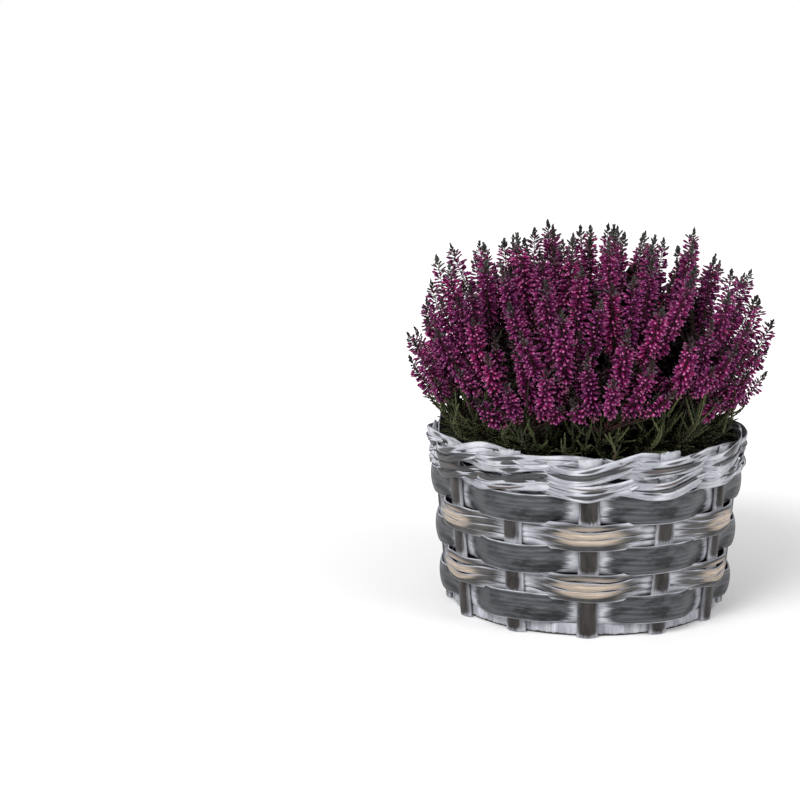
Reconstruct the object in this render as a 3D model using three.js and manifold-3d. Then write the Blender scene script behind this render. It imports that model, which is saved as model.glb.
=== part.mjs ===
// Potted heather: a bushy ling heather in full bud, in potting mix, in a film-lined basket
// woven from split willow.
//
// Units are millimetres. +Z is up, the origin is the centre of the basket's underside and
// -Y is the front. Twelve upright staves stand round a base board. Wide and narrow weavers
// pass in front of one stave and behind the next, and a border of twined strips closes the
// rim. The plant rises from one woody crown: its leafy stems fan out to a dome, and each
// stem carries one spray of flower spikes.

import * as THREE from "three";
import { mergeVertices } from "three/addons/utils/BufferGeometryUtils.js";
import Module from "manifold-3d";

const wasm = await Module();
wasm.setup();

const DEGREE = Math.PI / 180;
const TURN = 2 * Math.PI;

// ---- Driving dimensions -------------------------------------------------------------------

const GAP = 0.3; // clearance between neighbouring solids
const ROUND_SIDES = 24; // of everything turned or bent round the basket's axis

// Basket
const STAVES = 12;
const WALL_RADIUS_FOOT = 96.5; // radius of the staves' middle line at the ground
const WALL_RADIUS_RIM = 107.5; // and at the rim's height
const RIM_HEIGHT = 125;
const STAVE_WIDTH = 14.5;
const STAVE_BACK = 1.8; // flat back, behind the middle line
const STAVE_FRONT = 2.8; // round front, before the middle line
const STAVE_TALL = 130;
const STAVE_SHORT = 127;

const BASE_RADIUS = 92.6;
const BASE_THICKNESS = 6;
const EDGE_STRIP_THICKNESS = 1.5;
const EDGE_STRIP_FOOT = 1.2;
const EDGE_STRIP_TOP = 9.2;

const WIDE_HEIGHT = 19.4;
const WIDE_THICKNESS = 3;
const WIDE_EDGE_THICKNESS = 1.6;
const NARROW_HEIGHT = 7.4;
const NARROW_THICKNESS = 2.2;
const ROW_PITCH = 35.5; // from one wide weaver to the next
const LOWEST_WIDE = 19.3; // height of the lowest wide weaver's middle
const NARROW_OFFSET = 4; // of each strip of a pair from the middle between two wide weavers

const BORDER_HEIGHT = 6.2;
const BORDER_THICKNESS = 1.8;
const BORDER_RISE = 3.4; // how far a twined strip climbs above and below its pair's middle
const BORDER_MIDDLES = [107.1, 120.4];
const BORDER_BULGE = 1.8; // how much further out the border stands than the weavers

// Filling
const LINER_INSET = 6.3; // from the staves' middle line to the film
const LINER_WALL = 1.2;
const LINER_TOP = 120;
const SOIL_TOP = 106;
const SOIL_EDGE_DROP = 2.5;
const CROWN_RADIUS = 11;
const CROWN_DEPTH = 14; // how deep the crown stands in its hole
const CROWN_SIDES = 12;

// Plant
const SPRAYS = 28;
const SPIKES = 130;
const HEART_SEED = 1; // of the draws that make the sprays' hearts and the tips uneven
const TIP_SEED = 168;
const GOLDEN_ANGLE = 137.50776 * DEGREE;
const DOME_RADIUS = 137;
const DOME_HEIGHT = 147; // of the tips over the rim
const DOME_POWER = 0.62; // 1 is an ellipse; less squares the dome's shoulders
const DOME_WAIST = 90; // under this height over the rim the dome draws in again
const DOME_TUCK = 0.28;
const DOME_FOOT = 38; // height of the lowest tips over the rim
const UNEVEN = [0.95, 1.04]; // reach of a tip, as a share of the dome's
const STEM_END = 0.44; // share of a stem's curve that is leafy stem, before its spray
const STEM_BEND = [0.92, 0.32]; // where it turns upwards, as shares of its reach and of its rise
const STEM_RADIUS = [1.25, 1.1];
const STALK_RADIUS = 1.1;
const JOINT_RADIUS = 0.6; // of a side branch where it leaves its stem
const LEADER = { whorls: 7, bare: 0.2 }; // bare is the share of a spike's line before its buds
const SIDE = { whorls: 6, bare: 0.24 };
const BUDS_END = 0.87; // share of a spike's line where its leafy tip begins
const BUDS_RADIUS = 6.8; // reach of the flower buds from a spike's line
const FIRST_BUDS = 0.62; // reach of the lowest and of the highest whorl, as shares of that
const LAST_BUDS = 0.52;
const SIDE_SWING = [0.35, 0.75]; // a side spike's bend, as shares of its way up and aside
const SHOOT_SPAN = [0.4, 0.93]; // where the leafy side shoots stand on an outer stem
const SHOOTS = 4;
const SHOOT_LENGTH = 27;
const SHOOT_RADIUS = 2.5;
const SHOOT_WHORLS = 4;
const SHOOT_SWING = 42 * DEGREE; // from its stem's direction
const SHOOT_TURN = [50 * DEGREE, 80 * DEGREE]; // round its stem, from the stem's upper side
const SHOOT_LIFT = 3;

// ---- Materials ----------------------------------------------------------------------------

const finish = (color, roughness) => new THREE.MeshStandardMaterial({ color, roughness, metalness: 0 });
const BARK = finish(0x4a4a4c, 0.5);
const STAVE_BARK = finish(0x4b423f, 0.55);
const PEELED = finish(0xb9a58c, 0.65);
const WHITEWASH = finish(0xb9bcc6, 0.75);
const BOARD = finish(0x2f2d2c, 0.8);
const FILM = finish(0x1b1b1c, 0.35);
const SOIL = finish(0x241a13, 0.95);
const LEAF = finish(0x34402a, 0.7);
const FLOWER = finish(0x8a2a62, 0.6);

// ---- Helpers ------------------------------------------------------------------------------

const mix = (a, b, t) => a + (b - a) * t;

// A repeatable draw from 0 to 1 for the whole numbers a and b.
function chance(a, b) {
  const s = Math.sin(12.9898 * (a + 1) + 78.233 * (b + 1)) * 43758.5453;
  return s - Math.floor(s);
}

const wallRadius = (z) => mix(WALL_RADIUS_FOOT, WALL_RADIUS_RIM, z / RIM_HEIGHT);

// A point on the cylinder of that radius; angle 0 is the front.
const onCircle = (radius, angle, z) =>
  new THREE.Vector3(radius * Math.sin(angle), -radius * Math.cos(angle), z);

// Six times the volume inside a closed triangle mesh, negative where it is inside out.
function signedVolume(points, faces) {
  const cross = new THREE.Vector3();
  let sum = 0;
  for (let i = 0; i < faces.length; i += 3) {
    const [a, b, c] = [points[faces[i]], points[faces[i + 1]], points[faces[i + 2]]];
    sum += a.dot(cross.crossVectors(b, c));
  }
  return sum;
}

// A closed surface through rings of equally many points. The last ring joins the first
// where looped is true; otherwise a ring at either end is capped, or drawn to an apex.
function loft(rings, { looped = false, apex = null } = {}) {
  const sides = rings[0].length;
  const points = rings.flat();
  const faces = [];
  const spans = looped ? rings.length : rings.length - 1;
  for (let k = 0; k < spans; k++) {
    const low = k * sides;
    const high = ((k + 1) % rings.length) * sides;
    for (let i = 0; i < sides; i++) {
      const j = (i + 1) % sides;
      faces.push(low + i, low + j, high + i, low + j, high + j, high + i);
    }
  }
  if (!looped) {
    const last = (rings.length - 1) * sides;
    for (let i = 1; i < sides - 1; i++) faces.push(0, i + 1, i);
    if (apex) {
      const top = points.push(apex) - 1;
      for (let i = 0; i < sides; i++) faces.push(last + i, last + ((i + 1) % sides), top);
    } else {
      for (let i = 1; i < sides - 1; i++) faces.push(last, last + i, last + i + 1);
    }
  }
  if (signedVolume(points, faces) < 0)
    for (let i = 0; i < faces.length; i += 3) [faces[i + 1], faces[i + 2]] = [faces[i + 2], faces[i + 1]];
  return new THREE.BufferGeometry().setFromPoints(points).setIndex(faces);
}

// A solid of revolution about Z from [radius, height] pairs that start and end on the axis.
function revolve(profile, sides) {
  const lathe = new THREE.LatheGeometry(profile.map(([r, z]) => new THREE.Vector2(r, z)), sides);
  return lathe.rotateX(90 * DEGREE);
}

function solidOf(geometry) {
  const bare = new THREE.BufferGeometry()
    .setAttribute("position", geometry.getAttribute("position"))
    .setIndex(geometry.index);
  const merged = mergeVertices(bare, 1e-4);
  return new wasm.Manifold(
    new wasm.Mesh({
      numProp: 3,
      vertProperties: merged.attributes.position.array,
      triVerts: new Uint32Array(merged.index.array),
    }),
  );
}

// Joins solids that grow from each other into one closed surface.
function fuse(geometries) {
  const joined = geometries.map(solidOf).reduce((a, b) => a.add(b));
  const mesh = joined.getMesh();
  return new THREE.BufferGeometry()
    .setAttribute("position", new THREE.BufferAttribute(mesh.vertProperties, 3))
    .setIndex(new THREE.BufferAttribute(mesh.triVerts, 1));
}

const heather = new THREE.Group();

function addNode(name, geometry, material) {
  const mesh = new THREE.Mesh(geometry, material);
  mesh.name = name;
  heather.add(mesh);
}

const numbered = (stem, i) => stem + "_" + String(i + 1).padStart(2, "0");

// ---- Basket -------------------------------------------------------------------------------

// The base board, with a thin strip bent round its edge.
function addBase() {
  const board = new THREE.CylinderGeometry(BASE_RADIUS, BASE_RADIUS, BASE_THICKNESS, ROUND_SIDES);
  board.rotateX(90 * DEGREE).translate(0, 0, BASE_THICKNESS / 2);
  addNode("base_board", board, BOARD);

  const inner = BASE_RADIUS + GAP;
  const outer = inner + EDGE_STRIP_THICKNESS;
  const rings = [];
  for (let k = 0; k < ROUND_SIDES; k++) {
    const angle = (k / ROUND_SIDES) * TURN;
    rings.push([
      onCircle(inner, angle, EDGE_STRIP_FOOT),
      onCircle(outer, angle, EDGE_STRIP_FOOT),
      onCircle(outer, angle, EDGE_STRIP_TOP),
      onCircle(inner, angle, EDGE_STRIP_TOP),
    ]);
  }
  addNode("base_edge_strip", loft(rings, { looped: true }), WHITEWASH);
}

// A stave is a split rod: flat behind, round in front, and it leans out with the wall.
function addStave(k) {
  const angle = (k / STAVES) * TURN;
  const half = STAVE_WIDTH / 2;
  const section = [
    [-half, -STAVE_BACK],
    [half, -STAVE_BACK],
    [half, 0],
    [half * 0.62, STAVE_FRONT * 0.75],
    [0, STAVE_FRONT],
    [-half * 0.62, STAVE_FRONT * 0.75],
    [-half, 0],
  ];
  const out = onCircle(1, angle, 0);
  const across = new THREE.Vector3(Math.cos(angle), Math.sin(angle), 0);
  const ring = (z) =>
    section.map(([x, y]) =>
      onCircle(wallRadius(z), angle, z).addScaledVector(across, x).addScaledVector(out, y),
    );
  const top = k % 2 ? STAVE_TALL : STAVE_SHORT;
  addNode(numbered("stave", k), loft([ring(GAP), ring(top)]), STAVE_BARK);
}

// Sections of a weaver as seen from above: how far out it lies, 1 before a stave and -1
// behind one, over the 60 degrees from one front crossing to the next.
const WEAVE_STEPS = [
  [0, 1],
  [13, 0.3],
  [25, -1],
  [35, -1],
  [47, 0.3],
];
// The same for a strip of the border, with its climb: it twists round its partner between
// two staves.
const TWINE_STEPS = [
  [-6, 1, -0.25],
  [6, 1, 0.25],
  [12, 0.35, 1],
  [18, -0.35, 1],
  [24, -1, 0.25],
  [36, -1, -0.25],
  [42, -0.35, -1],
  [48, 0.35, -1],
];

// A strip woven round the basket. It is in front of the staves at firstStave, firstStave + 2...
function wovenStrip({ middle, height, thickness, edge = thickness, firstStave, steps, rise = 0, bulge = 0 }) {
  // Straight steps cut inside the circle, so the strip is set out by what they cut off.
  const sag = WALL_RADIUS_RIM * (1 - Math.cos(6 * DEGREE));
  const front = STAVE_FRONT + GAP + sag + bulge;
  const back = STAVE_BACK + GAP + thickness;
  const rings = [];
  for (let period = 0; period < STAVES / 2; period++) {
    for (const [degrees, out, climb = 0] of steps) {
      const angle = ((firstStave + 2 * period) / STAVES) * TURN + degrees * DEGREE;
      const inner = mix(-back, front, (out + 1) / 2);
      const z = middle + rise * climb;
      const at = (depth, dz) => onCircle(wallRadius(z + dz) + inner + depth, angle, z + dz);
      const ring = [at(0, -height / 2), at(edge, -height / 2)];
      if (edge < thickness) ring.push(at(thickness, 0));
      ring.push(at(edge, height / 2), at(0, height / 2));
      rings.push(ring);
    }
  }
  return loft(rings, { looped: true });
}

function addWeavers() {
  for (let row = 0; row < 3; row++) {
    const wide = wovenStrip({
      middle: LOWEST_WIDE + row * ROW_PITCH,
      height: WIDE_HEIGHT,
      thickness: WIDE_THICKNESS,
      edge: WIDE_EDGE_THICKNESS,
      firstStave: 1,
      steps: WEAVE_STEPS,
    });
    addNode(numbered("wide_weaver", row), wide, BARK);
  }
  for (let row = 0; row < 2; row++) {
    for (const [place, side] of [["low", -1], ["high", 1]]) {
      const narrow = wovenStrip({
        middle: LOWEST_WIDE + (row + 0.5) * ROW_PITCH + side * NARROW_OFFSET,
        height: NARROW_HEIGHT,
        thickness: NARROW_THICKNESS,
        firstStave: 0,
        steps: WEAVE_STEPS,
      });
      addNode(numbered("narrow_weaver_" + place, row), narrow, PEELED);
    }
  }
}

// Each half of the border is two strips twined round the staves, one before each stave.
function addBorder() {
  BORDER_MIDDLES.forEach((middle, row) => {
    for (const firstStave of [0, 1]) {
      const strip = wovenStrip({
        middle,
        height: BORDER_HEIGHT,
        thickness: BORDER_THICKNESS,
        firstStave,
        steps: TWINE_STEPS,
        rise: BORDER_RISE,
        bulge: BORDER_BULGE,
      });
      addNode(numbered("border_strip", 2 * row + firstStave), strip, WHITEWASH);
    }
  });
}

// ---- Filling ------------------------------------------------------------------------------

const filmRadius = (z) => wallRadius(z) - LINER_INSET;

// The film is a thin pot that stands on the base board.
function addLiner() {
  const foot = BASE_THICKNESS + GAP;
  const floor = foot + LINER_WALL;
  const profile = [
    [0, foot],
    [filmRadius(foot), foot],
    [filmRadius(LINER_TOP), LINER_TOP],
    [filmRadius(LINER_TOP) - LINER_WALL, LINER_TOP],
    [filmRadius(floor) - LINER_WALL, floor],
    [0, floor],
  ];
  addNode("film_liner", revolve(profile, ROUND_SIDES), FILM);
}

// The potting mix fills the film, with a plain hole for the plant's crown.
function addSoil() {
  const floor = BASE_THICKNESS + LINER_WALL + 2 * GAP;
  const inset = LINER_WALL + GAP + 0.2;
  const edge = SOIL_TOP - SOIL_EDGE_DROP;
  const hole = CROWN_RADIUS + GAP;
  const profile = [
    [0, floor],
    [filmRadius(floor) - inset, floor],
    [filmRadius(edge) - inset, edge],
    [filmRadius(edge) * 0.7, SOIL_TOP - SOIL_EDGE_DROP * 0.2],
    [hole, SOIL_TOP],
    [hole, SOIL_TOP - CROWN_DEPTH],
    [0, SOIL_TOP - CROWN_DEPTH],
  ];
  addNode("potting_mix", revolve(profile, ROUND_SIDES), SOIL);
}

// ---- Plant --------------------------------------------------------------------------------

const CROWN_HEAD = SOIL_TOP + 5;

// The dome that the tips of the spikes reach, as a profile from its top to its lowest tips.
function domeProfile() {
  const lowest = Math.acos((DOME_FOOT / DOME_HEIGHT) ** (1 / DOME_POWER));
  return Array.from({ length: 201 }, (_, k) => {
    const lean = (k / 200) * lowest;
    const height = DOME_HEIGHT * Math.cos(lean) ** DOME_POWER;
    const low = Math.max(0, 1 - height / DOME_WAIST);
    const radius = DOME_RADIUS * Math.sin(lean) ** DOME_POWER * (1 - DOME_TUCK * low * low);
    return new THREE.Vector2(radius, height);
  });
}

// Points spread evenly over the dome, from its top down, on a sunflower's spiral.
function domePoints(count, seed) {
  const profile = domeProfile();
  const area = [0];
  for (let k = 1; k < profile.length; k++)
    area.push(area[k - 1] + (profile[k].x + profile[k - 1].x) * profile[k].distanceTo(profile[k - 1]));
  return Array.from({ length: count }, (_, i) => {
    const wanted = ((i + 0.5) / count) * area.at(-1);
    const k = area.findIndex((sum) => sum >= wanted);
    const spot = profile[k - 1].clone().lerp(profile[k], (wanted - area[k - 1]) / (area[k] - area[k - 1]));
    spot.multiplyScalar(mix(...UNEVEN, chance(i, seed)));
    return onCircle(spot.x, i * GOLDEN_ANGLE, RIM_HEIGHT + spot.y);
  });
}

// The tips of each spray's spikes: every tip belongs to the nearest of the sprays' hearts,
// and the tip nearest the heart comes first.
function sprayTips() {
  const sprays = domePoints(SPRAYS, HEART_SEED).map((heart) => ({ heart, tips: [] }));
  for (const tip of domePoints(SPIKES, TIP_SEED)) {
    const away = (spray) => spray.heart.distanceTo(tip);
    sprays.reduce((a, b) => (away(b) < away(a) ? b : a)).tips.push(tip);
  }
  for (const { heart, tips } of sprays) tips.sort((a, b) => heart.distanceTo(a) - heart.distanceTo(b));
  return sprays.map(({ tips }) => tips);
}

// The line of stem i, from the crown to the tip of its spray's leading spike: it sets off
// outwards and then rises.
function stemCurve(i, tip) {
  const angle = Math.atan2(tip.x, -tip.y);
  const reach = Math.hypot(tip.x, tip.y);
  return new THREE.QuadraticBezierCurve3(
    onCircle((CROWN_RADIUS - 1.5) * Math.sqrt((i + 0.5) / SPRAYS), angle, CROWN_HEAD - 1),
    onCircle(reach * STEM_BEND[0], angle, mix(CROWN_HEAD, tip.z, STEM_BEND[1])),
    tip,
  );
}

// The part of a quadratic curve from share start to its end.
function endOf(curve, start) {
  return new THREE.QuadraticBezierCurve3(
    curve.getPoint(start),
    new THREE.Vector3().lerpVectors(curve.v1, curve.v2, start),
    curve.v2.clone(),
  );
}

// Two directions square to the curve at share t. The first stays square to it all along.
function frameAt(curve, t) {
  const tangent = curve.getTangent(t);
  const normal = new THREE.Vector3().crossVectors(
    new THREE.Vector3().subVectors(curve.v1, curve.v0),
    new THREE.Vector3().subVectors(curve.v2, curve.v0),
  );
  if (normal.lengthSq() < 1) normal.set(0, 1, 0);
  normal.normalize();
  return { tangent, normal, binormal: new THREE.Vector3().crossVectors(tangent, normal) };
}

// Rings of points round a curve, for [share, radius] pairs. Each ring is turned by turn
// from the one before it.
function ringsAlong(curve, stations, sides, turn) {
  return stations.map(([t, radius], k) => {
    const centre = curve.getPoint(t);
    const { normal, binormal } = frameAt(curve, t);
    return Array.from({ length: sides }, (_, i) => {
      const angle = (i / sides) * TURN + k * turn;
      return centre
        .clone()
        .addScaledVector(normal, radius * Math.cos(angle))
        .addScaledVector(binormal, radius * Math.sin(angle));
    });
  });
}

// A spike: a stalk, then whorls of three buds, each whorl turned by 60 degrees from the one
// below it, so that every bud stands over a gap, and a leafy tip.
function spike(curve, { whorls, bare }, rootRadius) {
  const stations = [
    [0, rootRadius],
    [bare * 0.7, STALK_RADIUS],
  ];
  for (let k = 0; k < whorls; k++) {
    const share = k / (whorls - 1);
    const swell = Math.min(1, FIRST_BUDS + 1.6 * share) * mix(1, LAST_BUDS, share ** 1.6);
    stations.push([mix(bare, BUDS_END, share), BUDS_RADIUS * swell]);
  }
  stations.push([mix(BUDS_END, 1, 0.45), STALK_RADIUS * 2]);
  return loft(ringsAlong(curve, stations, 3, 60 * DEGREE), { apex: curve.v2.clone() });
}

// The line of side spike j: it leaves the leading spike's stalk, swings clear of it and then
// rises alongside it.
function sideCurve(j, tip, leader) {
  const start = leader.getPoint(0.05 + 0.045 * j);
  const { tangent } = frameAt(leader, 1);
  const way = tip.clone().sub(start);
  const along = tangent.clone().multiplyScalar(way.dot(tangent));
  const aside = way.sub(along);
  const bend = start.clone().addScaledVector(along, SIDE_SWING[0]).addScaledVector(aside, SIDE_SWING[1]);
  return new THREE.QuadraticBezierCurve3(start, bend, tip);
}

function addSprays(sprays) {
  sprays.forEach((tips, i) => {
    const whole = stemCurve(i, tips[0]);
    const leader = endOf(whole, STEM_END + GAP / whole.getLength());
    const spikes = [spike(leader, LEADER, STALK_RADIUS)];
    tips.slice(1).forEach((tip, j) => spikes.push(spike(sideCurve(j, tip, leader), SIDE, JOINT_RADIUS)));
    addNode(numbered("flower_spray", i), fuse(spikes), FLOWER);
  });
}

// Leafy side shoot m of stem i, with its scale leaves in turned whorls. The shoots stand on
// the stem's two sides by turns.
function leafyShoot(i, m, stem) {
  const share = STEM_END * mix(...SHOOT_SPAN, m / (SHOOTS - 1));
  const start = stem.getPoint(share);
  const { tangent, normal, binormal } = frameAt(stem, share);
  const turn = (m % 2 ? -1 : 1) * mix(...SHOOT_TURN, chance(i, 40 + m));
  const away = normal.clone().multiplyScalar(Math.sin(turn)).addScaledVector(binormal, -Math.cos(turn));
  const way = tangent.multiplyScalar(Math.cos(SHOOT_SWING)).addScaledVector(away, Math.sin(SHOOT_SWING));
  const length = SHOOT_LENGTH * mix(0.85, 1.15, chance(i, 50 + m));
  const end = start.clone().addScaledVector(way, length);
  const bend = start.clone().lerp(end, 0.5);
  end.z += SHOOT_LIFT;
  const curve = new THREE.QuadraticBezierCurve3(start, bend, end);
  const stations = [[0, JOINT_RADIUS]];
  for (let k = 0; k < SHOOT_WHORLS; k++)
    stations.push([mix(0.22, 0.88, k / (SHOOT_WHORLS - 1)), SHOOT_RADIUS * (1 - 0.09 * k)]);
  return loft(ringsAlong(curve, stations, 3, 60 * DEGREE), { apex: end });
}

function addLeafyStems(sprays) {
  const foot = SOIL_TOP - CROWN_DEPTH + GAP;
  const crown = revolve(
    [
      [0, foot],
      [CROWN_RADIUS, foot],
      [CROWN_RADIUS, SOIL_TOP],
      [CROWN_RADIUS + 0.5, CROWN_HEAD],
      [0, CROWN_HEAD + 1],
    ],
    CROWN_SIDES,
  );
  const grown = [crown];
  sprays.forEach((tips, i) => {
    const whole = stemCurve(i, tips[0]);
    const stations = [0, 0.4, 0.7, 1].map((t) => [t * STEM_END, mix(...STEM_RADIUS, t)]);
    grown.push(loft(ringsAlong(whole, stations, 4, 0)));
    if (i >= SPRAYS / 2) for (let m = 0; m < SHOOTS; m++) grown.push(leafyShoot(i, m, whole));
  });
  addNode("leafy_stems", fuse(grown), LEAF);
}

// ---- The whole ----------------------------------------------------------------------------

addBase();
for (let k = 0; k < STAVES; k++) addStave(k);
addWeavers();
addBorder();
addLiner();
addSoil();
const sprays = sprayTips();
addLeafyStems(sprays);
addSprays(sprays);

export default heather;
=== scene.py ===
"""A potted ling heather in a basket of whitewashed split willow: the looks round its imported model.

Units are metres. +Z is up and -Y is the front. Angles round the basket count from the front
towards +X. Every surface is a grid of points worked out as whole arrays.
"""

import math

import bpy
import numpy as np
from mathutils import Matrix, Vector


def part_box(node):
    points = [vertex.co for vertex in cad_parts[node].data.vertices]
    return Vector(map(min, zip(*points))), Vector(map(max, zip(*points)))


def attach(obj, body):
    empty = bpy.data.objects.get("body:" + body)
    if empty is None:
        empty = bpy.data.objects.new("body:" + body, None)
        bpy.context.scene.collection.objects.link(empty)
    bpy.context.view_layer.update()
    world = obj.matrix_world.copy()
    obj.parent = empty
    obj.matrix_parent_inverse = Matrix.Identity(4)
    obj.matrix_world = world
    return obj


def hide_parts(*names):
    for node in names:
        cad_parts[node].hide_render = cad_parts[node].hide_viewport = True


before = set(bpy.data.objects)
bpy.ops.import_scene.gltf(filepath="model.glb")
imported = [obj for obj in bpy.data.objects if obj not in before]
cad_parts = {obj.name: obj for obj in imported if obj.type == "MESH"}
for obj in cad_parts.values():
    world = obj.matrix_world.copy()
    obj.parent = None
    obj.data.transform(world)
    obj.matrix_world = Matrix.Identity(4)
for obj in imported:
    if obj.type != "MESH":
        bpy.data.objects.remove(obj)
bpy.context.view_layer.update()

TURN = 2 * math.pi
DEGREE = math.pi / 180
MM = 0.001

# ---- Sizes ---------------------------------------------------------------------------------

# Basket
STAVES = 12
WIDE_WEAVERS = 3
NARROW_PAIRS = 2
BORDER_STRIPS = 4
WEAVER_RADIUS = 104 * MM
WALL_RADIUS_FOOT = 96.5 * MM
WALL_RADIUS_RIM = 107.5 * MM
RIM_HEIGHT = 125 * MM
STAVE_WIDTH = 14.5 * MM
STAVE_BACK = 1.8 * MM
STAVE_FRONT = 2.8 * MM
CLEARANCE = 0.3 * MM
WIDE_THICKNESS = 3 * MM
WIDE_EDGE = 1.6 * MM
NARROW_THICKNESS = 2.2 * MM
NARROW_EDGE = 1.1 * MM
STRAND_THICKNESS = 1.08 * MM
STRAND_EDGE = 0.8 * MM
BORDER_RISE = 3.4 * MM
BORDER_BULGE = 1.8 * MM
FOOT_THICKNESS = 1.5 * MM
SPLINTERS = 110
SPLINTER_ZONE = 22 * MM
SPLINTER_STAND_OFF = 3.5 * MM
SPLINTER_LENGTH = (6 * MM, 20 * MM)
SPLINTER_WIDTH = (1.2 * MM, 3 * MM)

# The strands of the narrow weavers, two to a weaver: each one's place in the pair and its height
# in millimetres, its share in the dip before the even staves, and in millimetres its stand-off
# and how far it spreads behind the odd staves
PAIR_STRANDS = {
    "high": ((6.4, 5.0, 0.1, -0.6, 0.6), (2.4, 5.8, 0.75, 0.5, 0)),
    "low": ((-2.4, 5.0, 0.95, 0.1, 0), (-6.3, 5.2, 0.6, -0.4, -1.2)),
}

# The strands of a border strip, in millimetres: each one's height, its place in the bundle and
# its stand-off
BORDER_STRANDS = ((5.2, -2.9, 0.1), (5.0, 0.8, -0.3), (4.2, 4.2, 0.2), (2.6, -0.6, 1.0))

# How far a strip's middle line wanders up and down, how far it wanders in and out, and how far
# its upper edge leans out and in
WIDE_WANDER = (0.5 * MM, 0.25 * MM, 0.5 * MM)
PAIR_WANDER = (0.35 * MM, 0.3 * MM, 0.35 * MM)
BORDER_WANDER = (0.5 * MM, 0.35 * MM, 0.5 * MM)

# How deep pairs and border strips dip before a stave, how far a dip reaches to each side, how
# much deeper the border strips dip in front, and how round a dip's point is
PAIR_SAGS = (5.4 * MM, 2.4 * MM)
PAIR_SAG_REACH = 38 * MM
BORDER_DIP = (0.4 * MM, 3.4 * MM)
BORDER_DIP_REACH = 34 * MM
FRONT_DIP = 2.5 * MM
DIP_ROUNDING = 4 * MM

# How deep the staves' tips are torn, and how ragged and uneven the strip round the foot is
TORN_DEPTH = 3 * MM
FOOT_RAGGED = 0.6 * MM
FOOT_BULGE = 0.15 * MM

# Bare patches, by their reach along the willow to each side of a stave, and how far the corners
# of the wide ones are pulled in
WIDE_BARE = (39 * MM, 43.5 * MM)
WIDE_CORNER = 8 * MM
PAIR_BARE = (36 * MM, 44 * MM)
PAIR_PEELED = (20 * MM, 30 * MM)
BORDER_BARE = (16 * MM, 42 * MM)

# The staves' bare windows: they start a little over the weaver below and run on under the one
# above. Half their width is a share of the stave's, and those of the odd staves are shifted
WINDOW_CORNER = 4 * MM
WINDOW_START = (1 * MM, 2 * MM)
WINDOW_OVERLAP = 7 * MM
WINDOW_SHIFT = (-1.2 * MM, 0.6 * MM)
ODD_WINDOW = 0.4
EVEN_WINDOW = 0.46

# Points that are not bare or not peeled, in millimetres inside the bare or the peeled patch
COVERED = -9.0
TORN_END = -4.0
UNPEELED = -9.0
HALF_PEELED = -2.0

# Steps of the grids round the basket and up a stave, and the steps of a map that isn't measured
WIDE_STEPS = 400
PAIR_STEPS = 300
BORDER_STEPS = 220
FOOT_STEPS = 480
BOARD_STEPS = 96
FILM_STEPS = 180
SOIL_STEPS = 110
CROWN_STEPS = 60
STAVE_ROWS = 66
STAVE_MAP_STEP = STAVE_WIDTH / 11
FOOT_MAP_STEPS = (1.4 * MM, 1.2 * MM)

# Filling
LINER_INSET = 6.3 * MM
LINER_WALL = 0.8 * MM
LIP_DROP = 8 * MM
LIP_UNEVEN = 1.2 * MM
PUCKER_DEPTH = 1.5 * MM
SOIL_GAP = 1.6 * MM
SOIL_TOP = 106 * MM
SOIL_EDGE_DROP = 2.5 * MM
SOIL_MIDDLE_DROP = 0.5 * MM
CLOD_HEIGHT = 0.5 * MM
CLOD_LIMIT = 0.4 * MM
CRUMBS = 420
CRUMB_LENGTH = (1.2 * MM, 3.4 * MM)
CROWN_RADIUS = 11 * MM
CROWN_HEAD = SOIL_TOP + 5 * MM
CROWN_TAPER = 2 * MM

# The small rings on which turned shapes start and end, which fans close; the board's are smaller
AXIS_RADIUS = 1 * MM

# Dome of the tips
DOME_RADIUS = 133 * MM
DOME_HEIGHT = 146 * MM
DOME_POWER = 0.62
DOME_WAIST = 90 * MM
DOME_TUCK = 0.28
DOME_FOOT = 38 * MM

# How many shoots there are, the seeds of their spirals, and where they end: at a share of the way
# out to the dome, or at a radius and a height
SPRAYS = 28
HEART_SEED = 1
SPIKES = 130
TIP_SEED = 168
TIP_REACH = (0.95, 1.04)
COMPANIONS = 70
COMPANION_SEED = 3
COMPANION_REACH = (0.62, 0.95)
LEAFY_EVERY = 12
CREST_SPIKES = 30
CREST_SEED = 5
CREST_REACH = (0.8, 0.93)
CURTAIN_SPIKES = 46
CURTAIN_RADIUS = (97 * MM, 117 * MM)
CURTAIN_TOP = (172 * MM, 212 * MM)
INNER_SHOOTS = 280
INNER_SEED = 4
INNER_REACH = (0.26, 0.85)
TWIG_REACH = 0.86
SKIRT_STEMS = 135
SKIRT_REACH = (46 * MM, 117 * MM)
SKIRT_BEND = (114 * MM, 124 * MM)
SKIRT_TOP = (134 * MM, 168 * MM)
SPRIG_RADIUS = (98 * MM, 108 * MM)
SPRIG_TOP = (120 * MM, 132 * MM)

# Side twigs: the span of the stem that they leave, how many do, and the ranges of their lengths
# and of their swings in degrees
SKIRT_TWIGS = ((0.3, 0.97), 7, (11 * MM, 22 * MM), (22, 50))
STEM_TWIGS = ((0.08, 0.8), 12, (16 * MM, 34 * MM), (25, 60))
SPIKE_TWIGS = ((0.02, 0.62), 4, (12 * MM, 24 * MM), (12, 34))

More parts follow.
